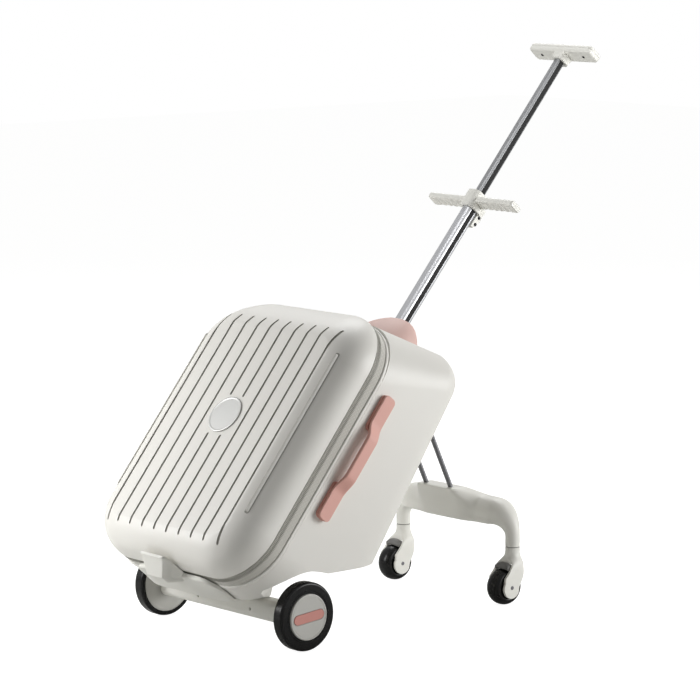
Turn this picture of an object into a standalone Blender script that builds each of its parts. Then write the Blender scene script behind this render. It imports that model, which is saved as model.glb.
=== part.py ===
"""Child's ride-on suitcase, standing in its riding position.

A hard-shell case leans forward on two large rear wheels and on a fold-out leg with two casters.
World frame in metres: +X is the direction of travel, +Y is the far side, +Z is up, z = 0 is the ground.
Case frame: x is depth (front shell at -x, back at +x), y is width, z runs along the case from the
rear axle towards the saddle.
"""

import bmesh
import bpy
from math import atan2, cos, degrees, hypot, pi, radians, sin, sqrt, tan
from mathutils import Matrix, Vector

# Fits
GAP = 0.0003
RUNNING = 0.00015
SLIDING = 0.0005

# Lean of the case from the vertical, and of the pole from the case
CASE_LEAN = radians(39.2)
POLE_LEAN = radians(1.75)

# Case outline, measured from the rear axle
CASE_HALF_WIDTH = 0.180
CASE_BOTTOM = -0.026
CASE_TOP = 0.439
TOP_CORNER = 0.097
BOTTOM_CORNER = 0.080
CORNER_STEPS = 7
SHELL_WALL = 0.003

# Depths through the case, from the rear axle
FRONT_FACE = -0.188
ZIP_CENTRE = -0.1250
BACK_FACE = 0.073
BACK_DRAFT = 0.09
BACK_DRAFT_LEVEL = 0.24
BACK_CORNER = 0.050
BACK_TOP_CORNER = 0.046
TOP_RISE = 0.215
SHOULDER_EDGE = 0.0022
SHOULDER_SIDE = 0.0445
SHOULDER_TOP = 0.070
SHOULDER_BOTTOM = 0.043
SHOULDER_FULLNESS = 2.35
SHOULDER_TOP_FULLNESS = 1.35
SHOULDER_ARC = 0.64
FACE_CORNER = 0.034

# Rings round the opening
TRIM_WIDTH = 0.0016
TRIM_INSET = 0.0016
LID_TAPE_WIDTH = 0.0048
CASE_TAPE_WIDTH = 0.0158
RIM_WIDTH = 0.0060
RIM_PROUD = 0.0012
RING_DEPTH = 0.0034
TAPE_INSET = 0.0010
TAPE_DEPTH = 0.0024

# Grooves, accent ribs and plate of the front shell
GROOVE_COUNT = 10
GROOVE_PITCH = 0.0291
GROOVE_WIDTH = 0.0036
GROOVE_DEPTH = 0.0014
GROOVE_LOW_INSET = 0.033
GROOVE_HIGH_INSET = 0.050
PLATE_HEIGHT = 0.212
PLATE_RADIUS = 0.031
PLATE_THICKNESS = 0.0022
PLATE_CLEAR = 0.007
RIB_OFFSET = 0.1535
RIB_LOW = 0.068
RIB_HIGH = 0.345
RIB_WIDTH = 0.0034
RIB_PROUD = 0.0015

# Undercut of the back shell over the rear wheels, level with the ground when the case leans
UNDERCUT_CLEARANCE = 0.061
UNDERCUT_FRONT_LOW = -0.072
UNDERCUT_FRONT_HIGH = -0.058

# Rear wheels and axle beam
WHEEL_RADIUS = 0.052
WHEEL_FACE = 0.1788
TYRE_WIDTH = 0.020
TYRE_SETBACK = 0.0028
TYRE_OUTER_BORE = 0.0352
TYRE_INNER_BORE = 0.0452
AXLE_RADIUS = 0.005
BEAM_HEIGHT = 0.032
BEAM_DEPTH = 0.034
BEAM_CORNER = 0.010
BEAM_DROP = 0.002
BEAM_END_GAP = 0.0025
PILL_LENGTH = 0.0575
PILL_HEIGHT = 0.0146
PILL_PROUD = 0.0007
PILL_TILT = radians(5.3)

# Base under the case, with its front lip and the stand foot
BASE_HALF_WIDTH = 0.098
BASE_LIP = 0.0075
BASE_LIP_FRONT = -0.1290
FOOT_HALF_WIDTH = 0.032
FOOT_TAPER = 0.009
FOOT_FRONT = -0.176
FOOT_TOE = -0.150
FOOT_TAIL = 0.012
FOOT_WEB = 0.003
FOOT_HEEL = -0.136

# Telescopic pole
POLE_EXIT_DEPTH = 0.0180
POLE_EXIT_RISE = 0.031
HANDLEBAR_RISE = 0.2885
T_HANDLE_RISE = 0.5940
SLEEVE_LENGTH = 0.365
SLEEVE_RISE = 0.010
SLEEVE_WALL = 0.0035
LOWER_DEPTH = 0.0240
LOWER_WIDTH = 0.0190
LOWER_TAIL = 0.110
UPPER_DEPTH = 0.0170
UPPER_WIDTH = 0.0130
UPPER_TAIL = 0.065
TUBE_WALL = 0.0016
TRACK_WIDTH = 0.0046
TRACK_DEPTH = 0.0010

# Handlebar
BAR_LENGTH = 0.205
BAR_DEPTH = 0.024
BAR_THICKNESS = 0.0105
BAR_RIDGES = 5
RIDGE_PITCH = 0.0125
CLAMP_WALL = 0.0045
CLAMP_HEIGHT = 0.030
LUG_LENGTH = 0.042
LUG_DEPTH = 0.012
LUG_WIDTH = 0.016

# T-handle
T_LENGTH = 0.151
T_DEPTH = 0.030
T_THICKNESS = 0.014
T_CORNER = 0.011
T_SPLIT = 0.008
NECK_LENGTH = 0.012
BUTTON_LENGTH = 0.044
BUTTON_DEPTH = 0.015
BUTTON_HEIGHT = 0.0075
BUTTON_WELL = 0.0095

# Saddle
SADDLE_RISE = 0.0785
SADDLE_CROWN = 0.010
SADDLE_HALF_LENGTH = 0.0530
SADDLE_HALF_WIDTH = 0.066
SADDLE_MIDDLE = 0.0070
SADDLE_OVER_PIVOT = 0.0145
NOSE_RISE = 0.0880
NOSE_FALL = 0.10
NOSE_BLEND = 0.012
PAN_LOW = -0.046
PAN_HIGH = 0.032
PAN_HALF_WIDTH = 0.052
PAN_THICKNESS = 0.006

# Side handle
HANDLE_DEPTH = -0.078
HANDLE_LOW = 0.125
HANDLE_HIGH = 0.340
HANDLE_WIDTH = 0.024
PAD_LENGTH = 0.061
PAD_HEIGHT = 0.0050
PAD_CORNER = 0.0070
GRIP_CLEARANCE = 0.0130
GRIP_THICKNESS = 0.0070
GRIP_END_THICKNESS = 0.0042
GRIP_RAMP = 0.020
GRIP_WAIST = 0.12

# Fold-out leg: pivot in the case frame, the rest in the world frame
LEG_PIVOT_DEPTH = 0.085
LEG_PIVOT_HEIGHT = 0.443
PIN_RADIUS = 0.004
STRUT_RADIUS = 0.0055
STRUT_OFFSET = 0.0285
STRUT_SOCKET = 0.022
HUB_X = 0.4250
HUB_TOP = 0.1765
CROSSHEAD_RADIUS = 0.0120
CROSSHEAD_HALF = 0.0400
EAR_THICKNESS = 0.009
MOUNT_LOW = 0.350
MOUNT_HIGH = 0.406
MOUNT_PLATE = 0.007

# Casters
CASTER_X = 0.466
CASTER_Y = 0.128
CASTER_TRAIL = 0.0185
CASTER_RADIUS = 0.0287
CASTER_WIDTH = 0.025
CASTER_BORE = 0.0145
STEM_RADIUS = 0.0115
STEM_END = 0.0905
KINGPIN_RADIUS = 0.005
FORK_SIDE = 0.004
FORK_CLEAR = 0.0012
FORK_SHOULDER = 0.0785
FENDER_THICKNESS = 0.0044
FENDER_START = 66
FENDER_END = 98
CASTER_AXLE = 0.003

# Lid hinges on the far side
HINGE_OUT = 0.0080
HINGE_HEIGHTS = (0.115, 0.300)
HINGE_LENGTH = 0.040
LEAF_THICKNESS = 0.0022
LEAF_REACH = 0.020
KNUCKLE_RADIUS = 0.0036
HINGE_PIN = 0.0015


def scene_cleared():
    for thing in list(bpy.data.objects):
        bpy.data.objects.remove(thing, do_unlink=True)


def material(name, colour, roughness, metallic=0.0):
    made = bpy.data.materials.new(name)
    made.use_nodes = True
    shader = made.node_tree.nodes["Principled BSDF"]
    shader.inputs["Base Color"].default_value = (*colour, 1.0)
    shader.inputs["Roughness"].default_value = roughness
    shader.inputs["Metallic"].default_value = metallic
    return made


def frame(name, parent, place, turn=0.0):
    """An empty at a place in its parent's frame, turned about Y."""
    empty = bpy.data.objects.new(name, None)
    empty.parent = parent
    empty.location = place
    empty.rotation_euler = (0.0, turn, 0.0)
    bpy.context.scene.collection.objects.link(empty)
    return empty


def solid(name, points, faces, parent, finish, place=(0, 0, 0), smooth_under=32):
    mesh = bpy.data.meshes.new(name)
    mesh.from_pydata([tuple(point) for point in points], [], faces)
    shaped = bmesh.new()
    shaped.from_mesh(mesh)
    bmesh.ops.recalc_face_normals(shaped, faces=shaped.faces)
    shaped.to_mesh(mesh)
    shaped.free()
    mesh.shade_smooth()
    mesh.set_sharp_from_angle(angle=radians(smooth_under))
    thing = bpy.data.objects.new(name, mesh)
    thing.parent = parent
    thing.location = place
    bpy.context.scene.collection.objects.link(thing)
    if finish is None:
        thing.hide_render = True
        thing.display_type = "WIRE"
    else:
        mesh.materials.append(finish)
    return thing


def loft(name, loops, parent, finish, ring=False, **options):
    """Skin over loops of equal length: capped at both ends, or joined into a ring."""
    count = len(loops[0])
    points = [point for loop in loops for point in loop]
    pairs = list(zip(range(len(loops)), range(1, len(loops))))
    if ring:
        pairs.append((len(loops) - 1, 0))
    faces = []
    for low, high in pairs:
        for here in range(count):
            there = (here + 1) % count
            faces.append((low * count + here, low * count + there, high * count + there, high * count + here))
    if not ring:
        faces.append(tuple(range(count)))
        faces.append(tuple((len(loops) - 1) * count + here for here in range(count)))
    return solid(name, points, faces, parent, finish, **options)


def prism(name, outline, half_width, parent, finish, middle=0.0, **options):
    """An outline in XZ, drawn out along Y to both sides of the middle."""
    sides = (middle - half_width, middle + half_width)
    loops = [[(x, side, z) for x, z in outline] for side in sides]
    return loft(name, loops, parent, finish, **options)


def turned(name, profile, steps, parent, finish, **options):
    """A closed profile of (radius, y), turned round the Y axis."""
    loops = []
    for step in range(steps):
        angle = 2 * pi * step / steps
        loops.append([(radius * cos(angle), y, radius * sin(angle)) for radius, y in profile])
    return loft(name, loops, parent, finish, ring=True, **options)


def rod(name, start, end, radius, parent, finish, steps=16, **options):
    start = Vector(start)
    end = Vector(end)
    turn = (end - start).to_track_quat("Z", "Y")
    loops = []
    for centre in (start, end):
        loop = []
        for step in range(steps):
            angle = 2 * pi * step / steps
            loop.append(centre + turn @ Vector((radius * cos(angle), radius * sin(angle), 0.0)))
        loops.append(loop)
    return loft(name, loops, parent, finish, **options)


def cut(thing, cutter, operation="DIFFERENCE"):
    modifier = thing.modifiers.new(cutter.name, "BOOLEAN")
    modifier.operation = operation
    modifier.solver = "EXACT"
    modifier.object = cutter
    return thing


def bevelled(thing, width, segments=2, angle=40):
    modifier = thing.modifiers.new("edges", "BEVEL")
    modifier.width = width
    modifier.segments = segments
    modifier.limit_method = "ANGLE"
    modifier.angle_limit = radians(angle)
    return thing


def rounded_section(depth, width, corner, steps=3):
    """A rectangle with round corners, as (x, y) points."""
    points = []
    for number, (sign_x, sign_y) in enumerate(((1, 1), (-1, 1), (-1, -1), (1, -1))):
        for step in range(steps + 1):
            angle = pi / 2 * (number + step / steps)
            x = sign_x * (depth / 2 - corner) + corner * cos(angle)
            y = sign_y * (width / 2 - corner) + corner * sin(angle)
            points.append((x, y))
    return points


def rounded_outline(half, bottom, top, lower, upper):
    """A rectangle with two lower and two upper corner radii, as (y, z) points."""
    corners = (
        (half - upper, top - upper, upper, 0),
        (-half + upper, top - upper, upper, 1),
        (-half + lower, bottom + lower, lower, 2),
        (half - lower, bottom + lower, lower, 3),
    )
    points = []
    for y, z, radius, quarter in corners:
        for step in range(CORNER_STEPS + 1):
            angle = pi / 2 * (quarter + step / CORNER_STEPS)
            points.append((y + radius * cos(angle), z + radius * sin(angle)))
    return points


def case_outline(inset):
    sides = (CASE_HALF_WIDTH - inset, CASE_BOTTOM + inset, CASE_TOP - inset)
    return rounded_outline(*sides, BOTTOM_CORNER - inset, TOP_CORNER - inset)


def shoulder_sides(share, wall):
    """Half width, bottom, top and corner radii part of the way from the front shell's edge to its face."""
    fall = shoulder_fall(share)
    top_share = 1 - (1 - fall**SHOULDER_TOP_FULLNESS) ** (1 / SHOULDER_TOP_FULLNESS)
    half = CASE_HALF_WIDTH - wall - (SHOULDER_SIDE - wall) * share
    bottom = CASE_BOTTOM + wall + (SHOULDER_BOTTOM - wall) * share
    top = CASE_TOP - wall - (SHOULDER_TOP - wall) * top_share
    lower = BOTTOM_CORNER - wall - (BOTTOM_CORNER - FACE_CORNER) * share
    upper = TOP_CORNER - wall - (TOP_CORNER - FACE_CORNER) * max(share, top_share)
    return half, bottom, top, lower, upper


def shoulder_fall(share):
    """Share of the depth gained at a share of the inset, round an arc that meets the face at a crease."""

    def arc(along):
        return (1 - (1 - along) ** SHOULDER_FULLNESS) ** (1 / SHOULDER_FULLNESS)

    return min(arc(share * SHOULDER_ARC) / arc(SHOULDER_ARC), 1.0)


def shoulder_depth(y, z):
    """Depth of the front shell's outer face at a point of its front."""
    low, high = 0.0, 1.0
    for _ in range(24):
        share = (low + high) / 2
        half, bottom, top, lower, upper = shoulder_sides(share, 0.0)
        middle = (top + bottom) / 2
        corner = upper if z > middle else lower
        over_y = abs(y) - (half - corner)
        over_z = abs(z - middle) - ((top - bottom) / 2 - corner)
        beyond = hypot(over_y, over_z) if over_y > 0 and over_z > 0 else max(over_y, over_z)
        if beyond <= corner:
            low = share
        else:
            high = share
    start = LID_EDGE - SHOULDER_EDGE
    return start - (start - FRONT_FACE) * shoulder_fall(low)


def case_to_world(depth, height):
    x = depth * cos(CASE_LEAN) + height * sin(CASE_LEAN)
    z = WHEEL_RADIUS - depth * sin(CASE_LEAN) + height * cos(CASE_LEAN)
    return x, z


def world_to_case(x, z):
    rise = z - WHEEL_RADIUS
    return x * cos(CASE_LEAN) - rise * sin(CASE_LEAN), x * sin(CASE_LEAN) + rise * cos(CASE_LEAN)


# Depths of the rings from the front shell to the back shell
LID_TAPE_SPAN = (ZIP_CENTRE - GAP / 2 - LID_TAPE_WIDTH, ZIP_CENTRE - GAP / 2)
TRIM_SPAN = (LID_TAPE_SPAN[0] - GAP - TRIM_WIDTH, LID_TAPE_SPAN[0] - GAP)
LID_EDGE = TRIM_SPAN[0] - GAP
CASE_TAPE_SPAN = (ZIP_CENTRE + GAP / 2, ZIP_CENTRE + GAP / 2 + CASE_TAPE_WIDTH)
RIM_SPAN = (CASE_TAPE_SPAN[1] + GAP, CASE_TAPE_SPAN[1] + GAP + RIM_WIDTH)
CASE_EDGE = RIM_SPAN[1] + GAP

scene_cleared()

WHITE = material("white_shell", (0.84, 0.82, 0.78), 0.42)
WARM = material("warm_white_moulding", (0.80, 0.78, 0.73), 0.5)
SATIN = material("satin_plate", (0.72, 0.72, 0.72), 0.3, 0.9)
ZIP = material("grey_zip", (0.36, 0.35, 0.33), 0.85)
PINK = material("pink_moulding", (0.66, 0.32, 0.28), 0.5)
PADDING = material("pink_saddle", (0.74, 0.48, 0.44), 0.7)
RUBBER = material("black_tyre", (0.02, 0.02, 0.02), 0.75)
ALUMINIUM = material("anodised_tube", (0.62, 0.62, 0.63), 0.3, 0.95)
STEEL = material("dark_steel", (0.26, 0.26, 0.26), 0.35, 0.9)
GREY = material("grey_moulding", (0.30, 0.30, 0.30), 0.5)

ground = frame("ground", None, (0, 0, 0))
case = frame("case_frame", ground, (0, 0, WHEEL_RADIUS), CASE_LEAN)


# Front shell: a domed tray with ten pressed grooves and two accent ribs
def ring_loop(inset, depth):
    return [(depth, y, z) for y, z in case_outline(inset)]


def build_front_shell(lid):
    steps = 6
    outer = [ring_loop(0.0, LID_EDGE)]
    inner = [ring_loop(SHELL_WALL, LID_EDGE)]
    start = LID_EDGE - SHOULDER_EDGE
    for step in range(steps + 1):
        share = 1 - cos(pi / 2 * step / steps)
        for loops, wall in ((outer, 0.0), (inner, SHELL_WALL)):
            depth = start - (start - FRONT_FACE - wall) * shoulder_fall(share)
            loops.append([(depth, y, z) for y, z in rounded_outline(*shoulder_sides(share, wall))])
    shell = loft("front_shell", inner[::-1] + outer, lid, WHITE, smooth_under=40)
    for number in range(GROOVE_COUNT):
        y = (number - (GROOVE_COUNT - 1) / 2) * GROOVE_PITCH
        low = CASE_BOTTOM + GROOVE_LOW_INSET
        high = CASE_TOP - GROOVE_HIGH_INSET
        near_plate = abs(y) < PLATE_RADIUS
        half_gap = sqrt(PLATE_RADIUS**2 - y**2) + PLATE_CLEAR if near_plate else 0.0
        spans = [(low, high)]
        if near_plate:
            spans = [(low, PLATE_HEIGHT - half_gap), (PLATE_HEIGHT + half_gap, high)]
        for part, (start, end) in enumerate(spans):
            cutter = surface_bar(f"groove_{number}_{part}", y, start, end, GROOVE_WIDTH, -GROOVE_DEPTH, 0.004, lid)
            cut(shell, cutter)
    for side in (-1, 1):
        rib = surface_bar(f"rib_{side}", side * RIB_OFFSET, RIB_LOW, RIB_HIGH, RIB_WIDTH, -0.0012, RIB_PROUD, lid)
        cut(shell, rib, "UNION")
    return shell


def surface_bar(name, y, start, end, width, below, above, parent):
    """A bar that follows the front shell's face at one y, from below the face to above it."""
    steps = 10
    loops = []
    for step in range(steps + 1):
        z = start + (end - start) * (1 - cos(pi * step / steps)) / 2
        loop = []
        for side, rise in ((-1, below), (1, below), (1, above), (-1, above)):
            edge_y = y + side * width / 2
            face = shoulder_depth(edge_y, z)
            loop.append((face - rise, edge_y, z))
        loops.append(loop)
    return loft(name, loops, parent, None)


def outline_ring(name, span, outward, inward, parent, finish):
    """A band round the whole outline, from an outer inset to an inner inset."""
    section = ((outward, span[0]), (outward, span[1]), (inward, span[1]), (inward, span[0]))
    return loft(name, [ring_loop(inset, depth) for inset, depth in section], parent, finish, ring=True)


def build_plate(lid):
    steps = 26
    face = FRONT_FACE - GAP
    loops = []
    for radius, depth in (
        (PLATE_RADIUS, face),
        (PLATE_RADIUS, face - PLATE_THICKNESS * 0.6),
        (PLATE_RADIUS - 0.0012, face - PLATE_THICKNESS),
        (PLATE_RADIUS - 0.0032, face - PLATE_THICKNESS),
        (PLATE_RADIUS - 0.0040, face - PLATE_THICKNESS * 0.7),
    ):
        loop = []
        for step in range(steps):
            angle = 2 * pi * step / steps
            loop.append((depth, radius * cos(angle), PLATE_HEIGHT + radius * sin(angle)))
        loops.append(loop)
    return loft("badge_plate", loops, lid, SATIN)


# Back shell: a deep tray, undercut above the rear wheels
def back_stations(wall):
    """(inset, depth, top) of each loop from the rim to the back face, for a wall drawn in by its thickness."""
    stations = []
    start = BACK_FACE - BACK_CORNER
    for depth in (CASE_EDGE, (CASE_EDGE + start) / 2, start):
        stations.append((wall, depth))
    steps = 6
    for step in range(1, steps + 1):
        angle = pi / 2 * step / steps
        corner = BACK_CORNER - wall
        stations.append((wall + corner * (1 - cos(angle)), start + corner * sin(angle)))
    return stations


def back_loop(inset, depth):
    start = BACK_FACE - BACK_CORNER
    share = (depth - CASE_EDGE) / (BACK_FACE - CASE_EDGE)
    top = CASE_TOP + TOP_RISE * (min(depth, start) - ZIP_CENTRE)
    upper = TOP_CORNER - (TOP_CORNER - BACK_TOP_CORNER) * share
    sides = (CASE_HALF_WIDTH - inset, CASE_BOTTOM + inset, top - inset)
    loop = []
    for y, z in rounded_outline(*sides, BOTTOM_CORNER - inset, upper - inset):
        loop.append((depth - share * BACK_DRAFT * (z - BACK_DRAFT_LEVEL), y, z))
    return loop


def top_profile(rise, low, high):
    """Points (depth, height) along the back shell's top end, raised by an amount, between two depths."""
    ridge = []
    for inset, station in back_stations(0.0):
        depth, _, height = back_loop(inset, station)[CORNER_STEPS]
        ridge.append((depth, height))

    def at(depth):
        for (x0, z0), (x1, z1) in zip(ridge, ridge[1:]):
            if depth <= x1:
                return z0 + (z1 - z0) * (depth - x0) / (x1 - x0)
        return ridge[-1][1]

    points = [(low, at(low) + rise)]
    points += [(depth, height + rise) for depth, height in ridge if low < depth < high]
    points.append((high, at(high) + rise))
    return points


def undercut(offset):
    """The space under the back shell, in depth and height, grown by an offset."""
    slope = tan(CASE_LEAN)
    level = (UNDERCUT_CLEARANCE + offset) / cos(CASE_LEAN)
    far = 0.30
    corner = UNDERCUT_FRONT_HIGH - offset
    points = [(far, -0.12), (far, level + slope * far)]
    low = (UNDERCUT_FRONT_LOW - offset, CASE_BOTTOM)
    high = (corner, level + slope * corner)
    run = 0.014
    for share in (0.0, 0.25, 0.5, 0.75, 1.0):
        before = (high[0] + run * cos(CASE_LEAN), high[1] + run * sin(CASE_LEAN))
        length = hypot(high[0] - low[0], high[1] - low[1])
        after = (high[0] + (low[0] - high[0]) * run / length, high[1] + (low[1] - high[1]) * run / length)
        x = (1 - share) ** 2 * before[0] + 2 * share * (1 - share) * high[0] + share**2 * after[0]
        z = (1 - share) ** 2 * before[1] + 2 * share * (1 - share) * high[1] + share**2 * after[1]
        points.append((x, z))
    points.append((low[0], low[1]))
    points.append((low[0], -0.12))
    return points


def build_back_shell():
    shell = loft("back_shell", [back_loop(*place) for place in back_stations(0.0)], case, WHITE, smooth_under=40)
    cavity_stations = back_stations(SHELL_WALL)
    cavity_loops = [back_loop(*place) for place in cavity_stations]
    mouth = [(CASE_EDGE - 0.02, y, z) for _, y, z in cavity_loops[0]]
    cavity = loft("cavity", [mouth] + cavity_loops, case, None)
    half = CASE_HALF_WIDTH + 0.05
    cut(cavity, prism("cavity_floor", undercut(SHELL_WALL), half, case, None))
    cut(shell, prism("undercut", undercut(0.0), half, case, None))
    cut(shell, cavity)
    hole = pole_bar("sleeve_hole", 2 * SLEEVE_WALL + LOWER_DEPTH + 2 * (SLIDING + GAP),
                    2 * SLEEVE_WALL + LOWER_WIDTH + 2 * (SLIDING + GAP), -0.05, 0.05, None)
    cut(shell, hole)
    return shell


# Pole frame: z runs up the pole from its exit at the top end of the case
pole = frame("pole_frame", case, (POLE_EXIT_DEPTH, 0, CASE_TOP + POLE_EXIT_RISE), POLE_LEAN)


def tube_section(depth, width, track=True):
    """Rounded tube section with a shallow track down each side, as (x, y) points."""
    corner = min(depth, width) * 0.42
    points = rounded_section(depth, width, corner)
    if not track:
        return points
    half = TRACK_WIDTH / 2
    edge = width / 2
    floor = edge - TRACK_DEPTH
    near = [(-half, -edge), (-half, -floor), (half, -floor), (half, -edge)]
    far = [(half, edge), (half, floor), (-half, floor), (-half, edge)]
    quarter = len(points) // 4
    return points[:quarter] + far + points[quarter : 3 * quarter] + near + points[3 * quarter :]


def pole_bar(name, depth, width, start, end, finish, parent=None):
    section = rounded_section(depth, width, min(depth, width) * 0.30)
    loops = [[(x, y, z) for x, y in section] for z in (start, end)]
    return loft(name, loops, parent or pole, finish)


def tracked_tube(name, depth, width, start, end, parent, finish):
    section = tube_section(depth, width)
    tube = loft(name, [[(x, y, z) for x, y in section] for z in (start, end)], parent, finish)
    wall = 2 * (TUBE_WALL + TRACK_DEPTH)
    bore = loft(
        name + "_bore",
        [[(x, y, z) for x, y in rounded_section(depth - wall, width - wall, (width - wall) * 0.42)]
         for z in (start - 0.01, end + 0.01)],
        parent,
        None,
    )
    return cut(tube, bore)


def build_sleeve():
    grow = 2 * (SLEEVE_WALL + SLIDING)
    sleeve = pole_bar("pole_sleeve", LOWER_DEPTH + grow, LOWER_WIDTH + grow, -SLEEVE_LENGTH, SLEEVE_RISE, GREY)
    bore = pole_bar("sleeve_bore", LOWER_DEPTH + 2 * SLIDING, LOWER_WIDTH + 2 * SLIDING,
                    -SLEEVE_LENGTH - 0.01, SLEEVE_RISE + 0.01, None)
    return cut(sleeve, bore)


# Handlebar on the lower stage
def build_handlebar(lower):
    centre = HANDLEBAR_RISE
    height = CLAMP_HEIGHT / 2
    depth = LOWER_DEPTH + 2 * CLAMP_WALL
    width = LOWER_WIDTH + 2 * CLAMP_WALL
    clamp = pole_bar("handlebar_clamp", depth, width, centre - height, centre + height, WARM, lower)
    lug = prism(
        "clamp_lug",
        [
            (LOWER_DEPTH / 2 + SLIDING, centre),
            (LOWER_DEPTH / 2 + SLIDING, centre - LUG_LENGTH),
            (LOWER_DEPTH / 2 + LUG_DEPTH * 0.55, centre - LUG_LENGTH),
            (LOWER_DEPTH / 2 + LUG_DEPTH, centre - LUG_LENGTH * 0.55),
            (LOWER_DEPTH / 2 + LUG_DEPTH, centre),
        ],
        LUG_WIDTH / 2,
        lower,
        None,
    )
    cut(clamp, lug, "UNION")
    grow = 2 * GAP
    bore = pole_bar("clamp_bore", LOWER_DEPTH + grow, LOWER_WIDTH + grow, centre - 0.08, centre + 0.08, None, lower)
    cut(clamp, bore)
    bar_names = (("handlebar_near", -1), ("handlebar_far", 1))
    for name, side in bar_names:
        start = width / 2 + GAP
        end = BAR_LENGTH / 2
        loops = []
        steps = 20
        ridge_start = end - 0.012 - BAR_RIDGES * RIDGE_PITCH
        for step in range(steps + 1):
            y = start + (end - start) * step / steps
            tip = max(0.0, (y - (end - 0.008)) / 0.008)
            shrink = sqrt(max(0.0, 1 - tip**2)) * 0.55 + 0.45
            notch = 0.0
            if ridge_start < y < end - 0.012:
                notch = 0.0011 * (1 - cos(2 * pi * (y - ridge_start) / RIDGE_PITCH)) / 2
            half_depth = BAR_DEPTH / 2 * shrink
            half_height = BAR_THICKNESS / 2 * shrink
            loop = []
            for x, z in rounded_section(2 * half_depth, 2 * half_height, half_height * 0.75, 2):
                lower_face = z < 0
                loop.append((x, side * y, centre + z + (notch if lower_face else 0.0)))
            loops.append(loop)
        loft(name, loops, lower, WARM)
    return clamp


# T-handle on the upper stage, with its release button
def build_t_handle(upper, button_frame):
    base = T_HANDLE_RISE - T_THICKNESS / 2
    split = base + T_SPLIT
    outline = rounded_section(T_DEPTH, T_LENGTH, T_CORNER, 4)

    def slab(levels):
        loops = []
        for inset, z in levels:
            scale_x = 1 - 2 * inset / T_DEPTH
            scale_y = 1 - 2 * inset / T_LENGTH
            loops.append([(x * scale_x, y * scale_y, z) for x, y in outline])
        return loops

    lower_half = loft(
        "t_handle_lower",
        slab(((0.0035, base), (0.0012, base + 0.0012), (0.0, base + 0.0035), (0.0, split))),
        upper,
        WARM,
    )
    neck_width = UPPER_WIDTH + 2 * CLAMP_WALL
    neck_depth = UPPER_DEPTH + 2 * CLAMP_WALL
    neck_loops = []
    for grow, z in ((0.0, base - NECK_LENGTH), (0.001, base - NECK_LENGTH * 0.4), (0.005, base + 0.003)):
        section = rounded_section(neck_depth + grow, neck_width + grow, neck_width * 0.3)
        neck_loops.append([(x, y, z) for x, y in section])
    cut(lower_half, loft("t_neck", neck_loops, upper, None), "UNION")
    socket = pole_bar("t_socket", UPPER_DEPTH + 2 * GAP, UPPER_WIDTH + 2 * GAP,
                      base - NECK_LENGTH - 0.01, base + T_SPLIT * 0.55, None, upper)
    cut(lower_half, socket)
    top = base + T_THICKNESS
    upper_half = loft(
        "t_handle_upper",
        slab(((0.0, split + GAP), (0.0, top - 0.003), (0.0012, top - 0.0010), (0.0035, top))),
        upper,
        WARM,
    )
    well_depth = BUTTON_DEPTH + 2 * SLIDING
    well_length = BUTTON_LENGTH + 2 * SLIDING
    well = [(x, y) for x, y in rounded_section(well_depth, well_length, well_depth * 0.45, 4)]
    well_loops = [[(x, y, z) for x, y in well] for z in (split - 0.01, top + 0.01)]
    cut(upper_half, loft("button_well", well_loops, upper, None))
    crown = 0.0012
    button_outline = rounded_section(BUTTON_DEPTH, BUTTON_LENGTH, BUTTON_DEPTH * 0.45, 4)
    floor = split + GAP + 0.0030
    peak = floor + BUTTON_HEIGHT - 0.003
    loops = []
    for scale, z in ((1.0, floor), (1.0, peak - crown), (0.90, peak), (0.5, peak + 0.0003)):
        loops.append([(x * scale, y * scale, z) for x, y in button_outline])
    return loft("release_button", loops, button_frame, GREY)


# Saddle: a wedge that is level when the case leans, on a rigid pan
def saddle_top(depth):
    """Height of the seat's crest: level with the ground, then running down parallel to the case's top end."""
    level = CASE_TOP + SADDLE_RISE + depth * tan(CASE_LEAN)
    nose = CASE_TOP + NOSE_RISE - NOSE_FALL * max(depth, 0.0)
    near = max(NOSE_BLEND - abs(level - nose), 0.0) / NOSE_BLEND
    return min(level, nose) - near * near * NOSE_BLEND / 4


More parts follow.
